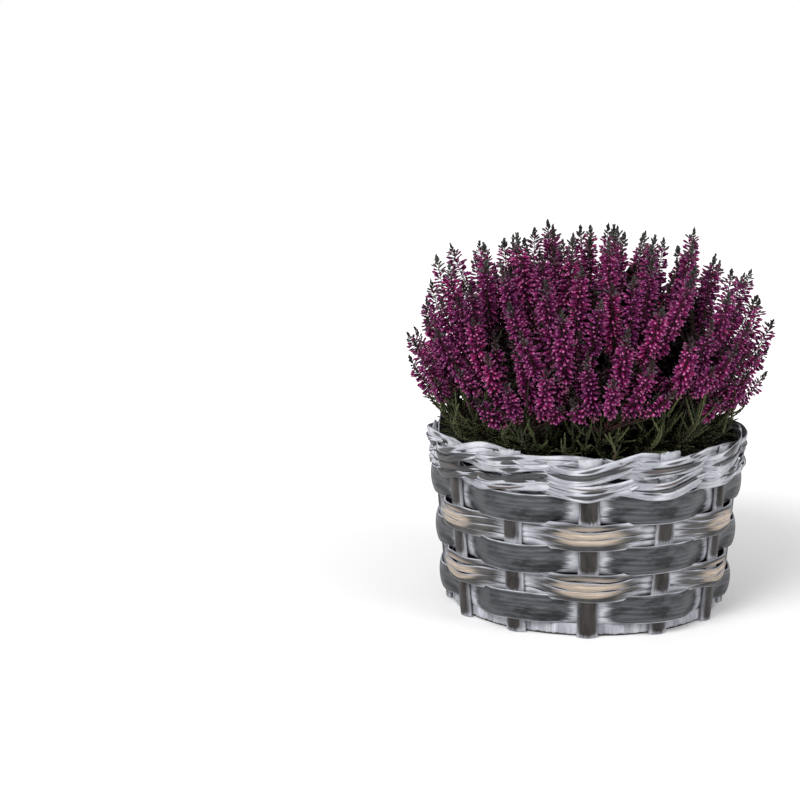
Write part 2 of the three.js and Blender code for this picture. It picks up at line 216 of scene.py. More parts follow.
# Stems and stalks: a bend is a share of the way out and of the way up, and a branch leaves at a
# share of the way along its stem
GOLDEN_ANGLE = 137.50776 * DEGREE
STEM_END = 0.44
STEM_BEND = (0.92, 0.32)
LOW_STEM_BEND = (0.82, 0.24)
CURTAIN_BEND = (0.72, 0.24)
SIDE_SWING = (0.35, 0.75)
FIRST_BRANCH = 0.05
BRANCH_STEP = 0.045
COMPANION_BRANCH = (0.08, 0.28)
CREST_BRANCH = (0.1, 0.3)
INNER_BRANCH = (0.1, 0.3)
STEM_RADIUS = (1.5 * MM, 0.9 * MM)
SKIRT_RADIUS = (1.1 * MM, 0.4 * MM)
STALK_RADIUS = (0.62 * MM, 0.28 * MM)
TWIG_RADIUS = (0.38 * MM, 0.2 * MM)

# Heights between which spikes change from low ones to upright ones, and their tips grow
UPRIGHT = (165 * MM, 230 * MM)
PROMINENT = (190 * MM, 262 * MM)

# The flowerless share of a spike's length
LOW_BARE = 0.36
HIGH_BARE = 0.22
UNEVEN_BARE = 0.15
CREST_BARE = 0.5
CURTAIN_BARE = (0.3, 0.66)

# Buds and leaves
TIP_LENGTH = 7.2 * MM
TIP_SPACING = 1.15 * MM
TIP_TOP = 2.2 * MM
TIP_SLIM = 0.62
TIP_LEAF_LENGTH = (4.8 * MM, 3.6 * MM)
SHORT_TIPS = 0.72
SHOOT_LEAF_LENGTH = (3.8 * MM, 3.4 * MM)
NECK_LENGTH = (0.3 * MM, 7 * MM)
NECK_SPACING = 0.7 * MM
BUDS_REACH = (6.7 * MM, 7.9 * MM)
BUD_SPACING = 0.41 * MM
BUD_WIDTH = 2.1 * MM
LEAF_LENGTH = 2.9 * MM
LEAF_SLIM = 1.3 / 2.9
LEAF_SPACING = 1.7 * MM

# Stage
CAMERA_PLACE = (-0.0424, -1.4057, 0.408)
CAMERA_PITCH = 79.4 * DEGREE
CAMERA_YAW = 3.7 * DEGREE
LENS_LENGTH = 90
SENSOR_WIDTH = 36
OBJECT_MIDDLE = (0, 0, 0.13)
LAMP_SIZE = 1.2
KEY_PLACE = (-0.9, -1.5, 1.6)
KEY_POWER = 44
FILL_PLACE = (1.5, -1.0, 0.9)
FILL_POWER = 12
FLOOR_REACH = 4.0
AMBIENT = 0.5

# Each willow's bark, dark and light, its peeled wood, light and dark, how far the wash's edge is
# ragged in millimetres, the strength of its relief and the seed of its grain
WILLOWS = {
    "bark_willow": ("#090a0d", "#4e5157", "#b8a58e", "#8c7d6d", 20, 0.2, 0.0),
    "peeled_willow": ("#272728", "#4b4946", "#c4b29f", "#8d8379", 16, 0.4, 1.7),
    "washed_willow": ("#26272b", "#444444", "#76625a", "#4c413d", 11, 0.35, 3.1),
    "stave_willow": ("#110c0a", "#281f1b", "#a58b78", "#8c7d6d", 6, 0.4, 4.9),
}


# ---- Arrays and meshes ---------------------------------------------------------------------

def mix(a, b, share):
    """The straight blend of a and b."""
    return a + (b - a) * share


def smooth_step(low, high, value):
    """0 below low, 1 above high, and 3s^2 - 2s^3 of the share s between them."""
    share = np.clip((value - low) / (high - low), 0, 1)
    return share * share * (3 - 2 * share)


def unit(vectors):
    """Each vector over its own length."""
    return vectors / np.linalg.norm(vectors, axis=-1, keepdims=True)


def on_circle(radius, angle, z):
    """Points at that radius, at an angle from the front, at height z."""
    radius, angle, z = np.broadcast_arrays(radius, angle, z)
    return np.stack([radius * np.sin(angle), -radius * np.cos(angle), z], -1)


def wall_radius(z):
    """The radius of the staves' middle line, which leans straight out with height."""
    return mix(WALL_RADIUS_FOOT, WALL_RADIUS_RIM, z / RIM_HEIGHT)


def wander(angle, random, lowest, highest, terms=5):
    """A wandering value of about -1 to 1 that closes round the circle: some sines with random
    phases, each with a whole number of waves between lowest and highest, added up and divided
    by the square root of their number."""
    waves = random.integers(lowest, highest + 1, terms)[:, None]
    phases = random.uniform(0, TURN, terms)[:, None]
    return np.sin(waves * angle + phases).sum(0) / math.sqrt(terms)


def grid_quads(rows, columns, closed_rows):
    """The quads of a grid of points whose columns close round, and for each quad's corners the
    row and the column that they have before a closed direction wraps round."""
    row, column = np.meshgrid(
        np.arange(rows if closed_rows else rows - 1), np.arange(columns), indexing="ij"
    )
    corner_rows = np.stack([row, row, row + 1, row + 1], -1).reshape(-1, 4)
    corner_columns = np.stack([column, column + 1, column + 1, column], -1).reshape(-1, 4)
    quads = (corner_rows % rows) * columns + corner_columns % columns
    return quads, corner_rows, corner_columns


def end_fans(rows, sides):
    """Triangles that close both ends of a grid of rings, each round a centre point of its own:
    the two points that follow the grid's."""
    ring = np.arange(sides)
    following = np.roll(ring, -1)
    last = (rows - 1) * sides
    first_centre = rows * sides
    return np.concatenate(
        [
            np.stack([following, ring, np.full_like(ring, first_centre)], -1),
            np.stack([last + ring, last + following, np.full_like(ring, first_centre + 1)], -1),
        ]
    )


def enclosed(points, faces):
    """Six times the volume that the faces enclose, or their share of it: the sum of each face's
    first corner times the cross products of the others. It is negative if they face inwards."""
    corners = [points[faces[:, k]] for k in range(faces.shape[1])]
    crossed = sum(np.cross(a, b) for a, b in zip(corners[1:-1], corners[2:]))
    return np.einsum("ij,ij->i", corners[0], crossed).sum()


class Shape:
    """Points with their faces, in blocks of equal corner count, and values on the points."""

    def __init__(self, points, blocks, values=None, uv=None):
        self.points = points
        self.blocks = blocks
        self.values = values or {}
        self.uv = uv

    @staticmethod
    def joined(shapes):
        """One shape with the points and the faces of all of them, one behind the other."""
        offsets = np.cumsum([0] + [len(shape.points) for shape in shapes[:-1]])
        pairs = zip(shapes, offsets)
        blocks = [block + offset for shape, offset in pairs for block in shape.blocks]
        names = shapes[0].values
        values = {name: np.concatenate([shape.values[name] for shape in shapes]) for name in names}
        uv = None if shapes[0].uv is None else np.concatenate([shape.uv for shape in shapes])
        return Shape(np.concatenate([shape.points for shape in shapes]), blocks, values, uv)


def grid_shape(points, closed_rows=False, ends=None, grain=None):
    """The shape of a grid of points whose columns close round, turned to face outwards. Either
    its rows close round as well, or a fan closes each end, round its centre in ends or round
    the mean of its row. grain works out the map's two lengths from a row and a column, which
    count on past the seam."""
    rows, columns = points.shape[:2]
    quads, corner_rows, corner_columns = grid_quads(rows, columns, closed_rows)
    blocks = [quads]
    if not closed_rows:
        blocks.append(end_fans(rows, columns))
        if ends is None:
            ends = np.stack([points[0].mean(0), points[-1].mean(0)])
    flat = points.reshape(-1, 3)
    if ends is not None:
        flat = np.concatenate([flat, ends])
    uv = None if grain is None else np.stack(grain(corner_rows, corner_columns), -1)
    if sum(enclosed(flat, block) for block in blocks) < 0:
        blocks = [block[:, ::-1] for block in blocks]
        uv = None if uv is None else uv[:, ::-1]
    if uv is not None:
        uv = np.concatenate([uv.reshape(-1, 2), *(np.zeros((fan.size, 2)) for fan in blocks[1:])])
    return Shape(flat, blocks, uv=uv)


def add_piece(name, shape, material, replaced=(), smooth=True):
    """Puts a shape into a mesh, hangs it under the root body and hides the parts that it replaces.
    """
    mesh = bpy.data.meshes.new(name)
    corners = np.concatenate([block.ravel() for block in shape.blocks])
    counts = np.concatenate([np.full(len(block), block.shape[1]) for block in shape.blocks])
    mesh.vertices.add(len(shape.points))
    mesh.vertices.foreach_set("co", shape.points.astype(np.float32).ravel())
    mesh.loops.add(len(corners))
    mesh.loops.foreach_set("vertex_index", corners.astype(np.int32))
    mesh.polygons.add(len(counts))
    mesh.polygons.foreach_set("loop_start", (np.cumsum(counts) - counts).astype(np.int32))
    mesh.polygons.foreach_set("use_smooth", np.full(len(counts), smooth))
    if shape.uv is not None:
        layer = mesh.uv_layers.new(name="grain")
        layer.data.foreach_set("uv", shape.uv.astype(np.float32).ravel())
    for key, value in shape.values.items():
        attribute = mesh.attributes.new(key, "FLOAT", "POINT")
        attribute.data.foreach_set("value", value.astype(np.float32).ravel())
    mesh.update(calc_edges=True)
    mesh.materials.append(material)
    piece = bpy.data.objects.new(name, mesh)
    bpy.context.scene.collection.objects.link(piece)
    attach(piece, "root")
    if replaced:
        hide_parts(*replaced)
    return piece


def numbered(stem, index):
    """The name of the piece or node with that index, counted from 01."""
    return f"{stem}_{index + 1:02d}"


# ---- Materials -----------------------------------------------------------------------------

def paint(code):
    """The linear colour of a hexadecimal screen colour."""
    channels = [int(code[k : k + 2], 16) / 255 for k in (1, 3, 5)]
    linear = [c / 12.92 if c <= 0.04045 else ((c + 0.055) / 1.055) ** 2.4 for c in channels]
    return (*linear, 1)


class Finish:
    """A node material round one principled shader, with short calls for the nodes it needs."""

    def __init__(self, name, **sockets):
        self.material = bpy.data.materials.new(name)
        self.material.use_nodes = True
        self.tree = self.material.node_tree
        self.shader = self.tree.nodes["Principled BSDF"]
        self.set(**sockets)

    def set(self, **sockets):
        """Sets or links the shader's sockets; a name's underscores stand for spaces."""
        self.fill(self.shader, {name.replace("_", " "): value for name, value in sockets.items()})

    def fill(self, node, inputs):
        """Links or sets a node's inputs. A colour may be given as its screen code."""
        for name, value in inputs.items():
            if isinstance(value, bpy.types.NodeSocket):
                self.tree.links.new(value, node.inputs[name])
            else:
                value = paint(value) if isinstance(value, str) else value
                node.inputs[name].default_value = value

    def node(self, kind, inputs, output, **settings):
        """Adds a node and returns one of its outputs."""
        node = self.tree.nodes.new("ShaderNode" + kind)
        for name, value in settings.items():
            setattr(node, name, value)
        self.fill(node, inputs)
        return node.outputs[output]

    def value(self, name):
        """A value that the mesh carries on its points."""
        return self.node("Attribute", {}, "Fac", attribute_name=name)

    def grain(self):
        """The piece's own map: metres along it and across it."""
        return self.node("UVMap", {}, "UV", uv_map="grain")

    def place(self):
        """The Object coordinates, in metres."""
        return self.node("TexCoord", {}, "Object")

    def stretched(self, vector, scale, location=(0, 0, 0)):
        """The vector times scale, moved by location: a large scale makes a fine pattern."""
        inputs = {"Vector": vector, "Scale": scale, "Location": location}
        return self.node("Mapping", inputs, "Vector")

    def noise(self, vector, scale=1, detail=3, roughness=0.55, distortion=0):
        """Noise from 0 to 1 that mostly stays round a half."""
        inputs = {"Vector": vector, "Scale": scale, "Detail": detail, "Roughness": roughness}
        return self.node("TexNoise", {**inputs, "Distortion": distortion}, "Fac")

    def ramp(self, value, low, high, start=0, end=1):
        """A smooth climb from start at low to end at high."""
        inputs = {"Value": value, "From Min": low, "From Max": high, "To Min": start, "To Max": end}
        return self.node("MapRange", inputs, "Result", interpolation_type="SMOOTHSTEP")

    def math(self, operation, *values):
        """A sum or a product. MULTIPLY_ADD adds the third value to the product of the others."""
        return self.node("Math", dict(enumerate(values)), "Value", operation=operation)

    def blend(self, share, first, second):
        """The colours first and second, blended by share."""
        return self.node("Mix", {"Factor": share, 6: first, 7: second}, 2, data_type="RGBA")

    def stain(self, colour, stain, value, low, high, most):
        """The colour, stained more and more, up to most, as the value climbs from low to high."""
        return self.blend(self.ramp(value, low, high, 0, most), colour, stain)

    def bump(self, height, strength, distance):
        """The normals of a relief that is up to distance high."""
        inputs = {"Height": height, "Strength": strength, "Distance": distance}
        return self.node("Bump", inputs, "Normal")


def willow_finish(name):
    """Split willow under a thin white wash. The value "worn" is how many millimetres a point
    lies inside the patch where the wash is rubbed off. Noise along the grain moves that patch's
    edge, and the raggeder it is, the softer it is too. The bark itself is peeled where "peel"
    is above 0. Blotches darken the bark and take the gloss off it."""
    bark, bark_light, peeled, peeled_dark, ragged, relief, seed = WILLOWS[name]
    finish = Finish(name)
    grain = finish.grain()
    # Scales are noise cells to the metre, along the grain and across it
    streak = finish.noise(finish.stretched(grain, (24, 560, 1), (seed, 0, 0)), 1, 5, 0.72)
    fibre = finish.noise(finish.stretched(grain, (70, 2400, 1), (seed, 3, 0)), detail=3)
    blotch = finish.noise(finish.stretched(grain, (45, 95, 1), (seed, 7, 0)), detail=3)
    torn = finish.math("MULTIPLY_ADD", streak, ragged, -ragged / 2)
    frayed = finish.math("MULTIPLY_ADD", fibre, ragged * 0.4, -ragged * 0.2)
    torn = finish.math("ADD", torn, frayed)
    inside = finish.math("ADD", finish.value("worn"), torn)
    soft = 1 + ragged / 8
    bare = finish.ramp(inside, -soft, soft)
    peel = finish.ramp(finish.math("ADD", finish.value("peel"), torn), -2.5, 5)
    dark = finish.blend(finish.ramp(streak, 0.3, 0.72), bark, bark_light)
    dark = finish.stain(dark, bark, blotch, 0.42, 0.66, 0.8)
    dark = finish.stain(dark, "#85868a", fibre, 0.62, 0.76, 0.35)
    tan = finish.blend(finish.ramp(streak, 0.38, 0.64), peeled, peeled_dark)
    tan = finish.stain(tan, "#4f4842", fibre, 0.5, 0.66, 0.65)
    wood = finish.blend(peel, dark, tan)
    white = finish.blend(finish.ramp(blotch, 0.36, 0.62), "#c0c1c8", "#93949c")
    white = finish.stain(white, "#72747c", streak, 0.52, 0.68, 0.5)
    white = finish.stain(white, "#505157", fibre, 0.57, 0.7, 0.6)
    white = finish.stain(white, "#6d6f77", inside, -3, -0.6, 0.3)
    ridges = finish.math("MULTIPLY_ADD", fibre, 0.35, finish.math("MULTIPLY", streak, 0.6))
    coated = finish.math("MULTIPLY_ADD", bare, -0.3, ridges)
    finish.set(
        Base_Color=finish.blend(bare, white, wood),
        Roughness=finish.ramp(bare, 0, 1, 0.75, 0.45),
        Specular_IOR_Level=finish.ramp(blotch, 0.42, 0.66, 0.55, 0.28),
        Normal=finish.bump(coated, relief, 0.3 * MM),
    )
    return finish.material


def board_finish():
    """Dark plywood: long grain along X, broken up by noise."""
    finish = Finish("base_board", Roughness=0.7)
    grain = finish.noise(finish.stretched(finish.place(), (30, 420, 60)), detail=5)
    finish.set(
        Base_Color=finish.blend(finish.ramp(grain, 0.3, 0.7), "#1d1815", "#3a302a"),
        Normal=finish.bump(grain, 0.3, 0.3 * MM),
    )
    return finish.material


def film_finish():
    """Thin black film with a soft gloss and small creases."""
    finish = Finish("liner_film", Specular_IOR_Level=0.5)
    creases = finish.noise(finish.place(), 160, 4, 0.6, 1.2)
    finish.set(
        Base_Color=finish.blend(finish.ramp(creases, 0.4, 0.8), "#131314", "#2b2b2d"),
        Roughness=finish.ramp(creases, 0.3, 0.7, 0.3, 0.5),
        Normal=finish.bump(creases, 0.5, 0.6 * MM),
    )
    return finish.material


def soil_finish():
    """Dark damp peat with paler fibres."""
    finish = Finish("potting_mix", Roughness=0.95)
    clods = finish.noise(finish.place(), 260, 5, 0.65)
    fibres = finish.noise(finish.place(), 900, 2)
    dark = finish.blend(finish.ramp(clods, 0.35, 0.7), "#120c08", "#3a2a1d")
    finish.set(
        Base_Color=finish.stain(dark, "#6d563e", fibres, 0.66, 0.74, 0.7),
        Normal=finish.bump(clods, 0.8, 1.2 * MM),
    )
    return finish.material


def stem_finish():
    """Thin brown bark with upright streaks, purplish where the value "young" is high."""
    finish = Finish("woody_stem", Roughness=0.7, Specular_IOR_Level=0.15)
    streak = finish.noise(finish.stretched(finish.place(), (900, 900, 160)), detail=3)
    old = finish.blend(streak, "#241912", "#57443a")
    young = finish.blend(streak, "#230e14", "#452827")
    finish.set(
        Base_Color=finish.blend(finish.value("young"), old, young),
        Normal=finish.bump(streak, 0.4, 0.2 * MM),
    )
    return finish.material


def leaf_finish():
    """Scale leaves: dark green with a paler tip. Each leaf has its own tint, and a second value
    turns it first to a brownish black, painted shade for the twigs and tips deep in the plant,
    and then to the real greyish green of the tips of the spikes."""
    finish = Finish("leaf", Roughness=0.55, Specular_IOR_Level=0.2)
    along = finish.value("along")
    tint = finish.value("tint")
    dull = finish.value("dull")
    green = finish.blend(tint, "#20261a", "#525938")
    green = finish.stain(green, "#7d8256", along, 0.5, 1, 0.35)
    # Painted shade: the brownish black of the twigs and tips deep inside the plant
    shaded = finish.blend(tint, "#200c16", "#2c231f")
    grey = finish.blend(tint, "#262a27", "#4b504a")
    # From 0.1 to 0.9 the value blends in the painted shade, and from 0.9 to 1 the real grey of the
    # spikes' tips
    colour = finish.blend(finish.ramp(dull, 0.1, 0.9), green, shaded)
    finish.set(Base_Color=finish.blend(finish.ramp(dull, 0.9, 1), colour, grey))
    return finish.material


def bud_finish():
    """Closed buds: deep magenta, darker towards the stalk and paler at the tip. The dark foot is
    partly the real calyx and partly painted shade deep in the spike, and the pale tip is partly
    real and partly a painted highlight. The value "ripe" takes them from greyish at a spike's top
    to faded at its foot, and "tint" gives each its own shade."""
    finish = Finish("flower_bud", Roughness=0.5, Specular_IOR_Level=0.15)
    along = finish.value("along")
    tint = finish.value("tint")
    ripe = finish.value("ripe")
    body = finish.blend(tint, "#470c39", "#851d5d")
    body = finish.stain(body, "#92194a", tint, 0.7, 1, 0.35)
    # Pale tips: partly the buds' real paler tips and partly a painted highlight
    pale = finish.blend(tint, "#985386", "#ce8ab2")
    colour = finish.stain(body, pale, along, 0.76, 1, 0.85)
    # Dark foot: partly the real calyx and stalk and partly painted shade deep inside the spike
    colour = finish.blend(finish.ramp(along, 0.2, 0.52, 0.9, 0), colour, "#340924")
    colour = finish.stain(colour, "#94606a", ripe, 0.75, 1, 0.6)
    colour = finish.blend(finish.ramp(ripe, 0.0, 0.05, 1, 0), colour, "#4a4345")
    finish.set(Base_Color=colour)
    return finish.material


def floor_finish():
    """A plain pale studio floor with the faintest mottle. Its glow grows with the distance, so
    that the floor runs into the white surround."""
    finish = Finish("pale_floor", Roughness=0.6, Emission_Color=(1, 1, 1, 1))
    mottle = finish.noise(finish.place(), 3)
    away = finish.node("VectorMath", {0: finish.place()}, "Value", operation="LENGTH")
    finish.set(
        Base_Color=finish.blend(mottle, "#f4f4f4", "#f8f8f8"),
        Emission_Strength=finish.ramp(away, 0.08, 0.9, 0.1, 0.7),
    )
    return finish.material


# ---- Basket --------------------------------------------------------------------------------

def split_section(face_points, back_points, squareness=4):
    """The outline of a split rod, from -1 to 1 across and from 0, its back, to 1, its face.
    Both halves follow half a superellipse, with their points closer together at the edges."""
    face = np.sin(np.linspace(-math.pi / 2, math.pi / 2, face_points))
    back = np.sin(np.linspace(math.pi / 2, -math.pi / 2, back_points + 2))[1:-1]
    across = np.concatenate([face, back])
    side = np.concatenate([np.ones(face_points), -np.ones(back_points)])
    half = (1 - np.abs(across) ** squareness) ** (1 / squareness)
    return across, 0.5 + 0.5 * side * half


def weave(angle, first_stave):
    """How far out a weaver lies: 1 before the staves first_stave, first_stave + 2 and so on,
    and -1 behind the others, as the sine of a quarter turn times a cosine."""
    return np.sin(math.pi / 2 * np.cos(STAVES / 2 * (angle - first_stave * TURN / STAVES)))


def crossing(angle, first_stave):
    """For each angle, which of the staves first_stave, first_stave + 2 and so on is nearest,
    counted from 0, and the distance from it along the wall."""
    step = 2 * TURN / STAVES
    turned = angle - first_stave * TURN / STAVES
    number = np.floor(turned / step + 0.5)
    return number.astype(int) % (STAVES // 2), (turned - number * step) * WEAVER_RADIUS


def v_dip(along, deep, reach):
    """A dip of about deep at along 0 that runs out straight at reach on both sides. A hyperbola
    rounds its point."""
    return deep * np.maximum(0, 1 - np.hypot(along, DIP_ROUNDING) / reach)


def edge_wash(across, height, bare_share=0.94):
    """How far a point lies inside a strip's bare share, taken 8 times so that the wash ends
    sharply along the strip's edges."""
    return 8 * (bare_share - np.abs(across)) * height[:, None] / 2


def strip_shape(angle, out, middle, height, thickness, edge, lift, tilt, section, bulge=0):
    """A strip bent round the basket. Its inner face runs by out from behind the staves' backs
    to before their fronts, where it bulges further, and lift is added to it. Its middle line
    follows middle, and its face is crowned: the edges are edge thick, and the rest adds a
    parabola up to thickness. tilt leans its upper edge out."""
    across, depth = section
    front = STAVE_FRONT + CLEARANCE + bulge
    back = STAVE_BACK + CLEARANCE + thickness
    inner = mix(-back, front, (out + 1) / 2) + lift
    z = middle[:, None] + across * height[:, None] / 2
    crown = (thickness - edge) * (1 - across**2)
    radius = wall_radius(z) + inner[:, None] + (edge + crown) * depth + tilt[:, None] * across
    points = on_circle(radius, angle[:, None], z)
    steps = np.linalg.norm(points[0] - np.roll(points[0], -1, 0), axis=-1)
    girth = np.concatenate([[0], np.cumsum(steps)])
    length = WALL_RADIUS_RIM * (angle[1] - angle[0])
    return grid_shape(points, True, grain=lambda row, column: (row * length, girth[column]))


def wash_values(worn, peel=UNPEELED):
    """The values that a willow finish reads: how many millimetres each point lies inside the
    bare patch and inside the peeled one."""
    worn, peel = np.broadcast_arrays(worn, peel)
    return {"worn": worn.ravel(), "peel": peel.ravel()}


def closed_angles(count, start):
    """Angles all the way round from start, without the last one."""
    return start + np.arange(count) * TURN / count


def add_wide_weavers(material):
    """Wide strips in front of the odd staves. The wash is rubbed off there, over a patch with
    pulled-in corners that ends a little short of the staves on both sides."""
    section = split_section(13, 6)
    across = section[0]
    corner = WIDE_CORNER * np.clip((np.abs(across) - 0.45) / 0.55, 0, 1) ** 2
    climb, lift, tilt = WIDE_WANDER
    for row in range(WIDE_WEAVERS):
        node = numbered("wide_weaver", row)
        low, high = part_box(node)
        random = np.random.default_rng(10 + row)
        angle = closed_angles(WIDE_STEPS, math.pi)
        number, along = crossing(angle, 1)
        height = (high.z - low.z) * (1.05 + 0.02 * wander(angle, random, 3, 20))
        shape = strip_shape(
            angle,
            weave(angle, 1),
            middle=(low.z + high.z) / 2 + climb * wander(angle, random, 2, 9),
            height=height,
            thickness=WIDE_THICKNESS,
            edge=WIDE_EDGE,
            lift=lift * wander(angle, random, 4, 20),
            tilt=tilt * wander(angle, random, 3, 12),
            section=section,
        )
        ends = random.uniform(*WIDE_BARE, (2, STAVES // 2))
        reach = ends[(along > 0).astype(int), number]
        patch = (reach - np.abs(along))[:, None] - corner
        patch = np.minimum(patch, edge_wash(across, height))
        shape.values = wash_values(patch / MM)
        add_piece(numbered("willow_wide", row), shape, material, [node])


def add_narrow_weavers(material):
    """A pair of narrow weavers is four unequal strands, two to a weaver, that dip together. A
    lens of the pair is rubbed bare before the even staves, and the bark is split off in its
    middle."""
    section = split_section(8, 4, 3)
    across = section[0]
    crossings = STAVES // 2
    climb, lift, tilt = PAIR_WANDER
    for row in range(NARROW_PAIRS):
        nodes = {place: numbered("narrow_weaver_" + place, row) for place in PAIR_STRANDS}
        floor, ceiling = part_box(nodes["low"])[0].z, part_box(nodes["high"])[1].z
        random = np.random.default_rng(30 + row)
        angle = closed_angles(PAIR_STEPS, math.pi + TURN / STAVES)
        number, along = crossing(angle, 0)
        out = weave(angle, 0)
        hidden = smooth_step(0.8, -0.6, out)
        deep = random.uniform(0.7, 1, crossings) * PAIR_SAGS[row]
        sag = v_dip(along, deep[number], PAIR_SAG_REACH)
        bare = random.uniform(*PAIR_BARE, crossings)[number]
        split = random.uniform(*PAIR_PEELED, crossings)[number]
        for place, node in nodes.items():
            shapes = []
            for centre, tall, share, stand, spread in PAIR_STRANDS[place]:
                height = tall * MM * (1 + 0.12 * wander(angle, random, 4, 18))
                middle = (floor + ceiling) / 2 + centre * MM - share * sag + spread * MM * hidden
                shape = strip_shape(
                    angle,
                    out,
                    middle=middle + climb * wander(angle, random, 6, 24),
                    height=height,
                    thickness=NARROW_THICKNESS,
                    edge=NARROW_EDGE,
                    lift=lift * wander(angle, random, 5, 25) + stand * MM,
                    tilt=tilt * wander(angle, random, 6, 20),
                    section=section,
                )
                z = shape.points[:, 2].reshape(len(angle), -1) + share * sag[:, None]
                level = (2 * z - floor - ceiling) / (ceiling - floor)
                lens = 11 * (1 - (along / bare)[:, None] ** 2 - 0.55 * level**2)
                worn = np.minimum(lens, edge_wash(across, height, 0.78) / MM)
                peel = 9 * (0.8 - (along / split)[:, None] ** 2 - 1.3 * (level - 0.15) ** 2)
                shape.values = wash_values(worn, peel)
                shapes.append(shape)
            name = numbered("willow_narrow_" + place, row)
            add_piece(name, Shape.joined(shapes), material, [node])


def add_border(material):
    """Each strip of the border is a bundle of flat ragged strands that twist round their
    partners: the twist is a sine a quarter period behind the weave. Long thin lenses and short
    patches are bare, but the strands' backs keep their wash. Here and there the bark is split
    off."""
    section = split_section(5, 3, 4)
    across, depth = section
    crossings = STAVES // 2
    climb, lift, tilt = BORDER_WANDER
    for index in range(BORDER_STRIPS):
        node = numbered("border_strip", index)
        low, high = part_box(node)
        random = np.random.default_rng(50 + index)
        first_stave = index % 2
        angle = closed_angles(BORDER_STEPS, math.pi + (first_stave + 1) * TURN / STAVES)
        number, along = crossing(angle, first_stave)
        phase = STAVES / 2 * (angle - first_stave * TURN / STAVES)
        out = weave(angle, first_stave)
        deep = random.uniform(*BORDER_DIP, crossings)
        deep[0] += FRONT_DIP
        dip = v_dip(along, deep[number], BORDER_DIP_REACH)
        strands = []
        for tall, offset, stand in BORDER_STRANDS:
            height = tall * MM * (1 + 0.22 * wander(angle, random, 4, 18))
            twist = random.uniform(0.4, 1.3) * BORDER_RISE
            twist = twist * np.sin(phase + random.uniform(-0.5, 0.5))
            ride = twist - dip + offset * MM * (1 + 0.25 * wander(angle, random, 2, 7))
            shape = strip_shape(
                angle,
                out,
                middle=(low.z + high.z) / 2 + ride + climb * wander(angle, random, 6, 24),
                height=height,
                thickness=STRAND_THICKNESS,
                edge=STRAND_EDGE,
                lift=lift * wander(angle, random, 6, 26) + stand * MM,
                tilt=tilt * wander(angle, random, 6, 20),
                section=section,
                bulge=BORDER_BULGE,
            )
            reach = random.uniform(*BORDER_BARE, crossings)[number]
            rubbed = random.uniform(-0.4, 1.1, crossings)[number]
            lens = 24 * (rubbed - (along / reach) ** 2)[:, None] - 16 * across**2
            patches = 16 * (wander(angle, random, 8, 20) - 0.8)[:, None] - 14 * across**2
            worn = np.maximum(lens, patches) - 30 * (depth < 0.3)
            peel = 9 * wander(angle, random, 3, 9)[:, None] - 7
            shape.values = wash_values(worn, peel)
            strands.append(shape)
        name = numbered("willow_border", index)
        add_piece(name, Shape.joined(strands), material, [node])


def add_splinters(material):
    """Torn ends that stand off the border: flat strips that narrow to a point and leave the
    wall at a small angle, some of them upwards."""
    random = np.random.default_rng(60)
    angle = random.uniform(0, TURN, SPLINTERS)
    height = random.uniform(RIM_HEIGHT - SPLINTER_ZONE, RIM_HEIGHT, SPLINTERS)
    base = on_circle(wall_radius(height) + SPLINTER_STAND_OFF, angle, height)
    turned = random.choice([-1, 1], SPLINTERS)[:, None]
    outwards = on_circle(1, angle, 0)
    way = on_circle(1, angle + TURN / 4, 0) * turned
    way = way + outwards * random.uniform(0.02, 0.3, SPLINTERS)[:, None]
    way[:, 2] += random.uniform(-0.2, 0.5, SPLINTERS)
    way = unit(way)
    side = unit(np.cross(way, outwards))
    length = random.uniform(*SPLINTER_LENGTH, SPLINTERS)
    width = random.uniform(*SPLINTER_WIDTH, SPLINTERS)
    template = spindle([(0, 0), (0.02, 0.5), (0.55, 0.4), (1, 0)], 6)
    points, faces = copies(template, base, way, side, length, width, 0.35)
    thick, _, tall = template[0].T
    along = np.outer(length, tall) + angle[:, None]
    grain = np.stack([along.ravel(), np.outer(width, thick).ravel()], -1)
    worn = np.repeat(random.uniform(-6, 2, SPLINTERS), len(tall))
    shape = Shape(points, [faces], wash_values(worn, HALF_PEELED), grain[faces.ravel()])
    add_piece("willow_splinters", shape, material)


def bare_windows(index):
    """The heights between which a stave shows, as (low, high) pairs: odd staves show between
    the wide weavers, and the others between the narrow ones."""
    if index % 2:
        lows = highs = [numbered("wide_weaver", row) for row in range(WIDE_WEAVERS)]
    else:
        lows = [numbered("narrow_weaver_low", row) for row in range(NARROW_PAIRS)]
        highs = [numbered("narrow_weaver_high", row) for row in range(NARROW_PAIRS)]
    ceilings = [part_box(node)[0].z for node in lows] + [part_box("border_strip_01")[0].z]
    floors = [0] + [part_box(node)[1].z for node in highs]
    windows = list(zip(floors, ceilings))
    return windows[:-1] if index % 2 else windows


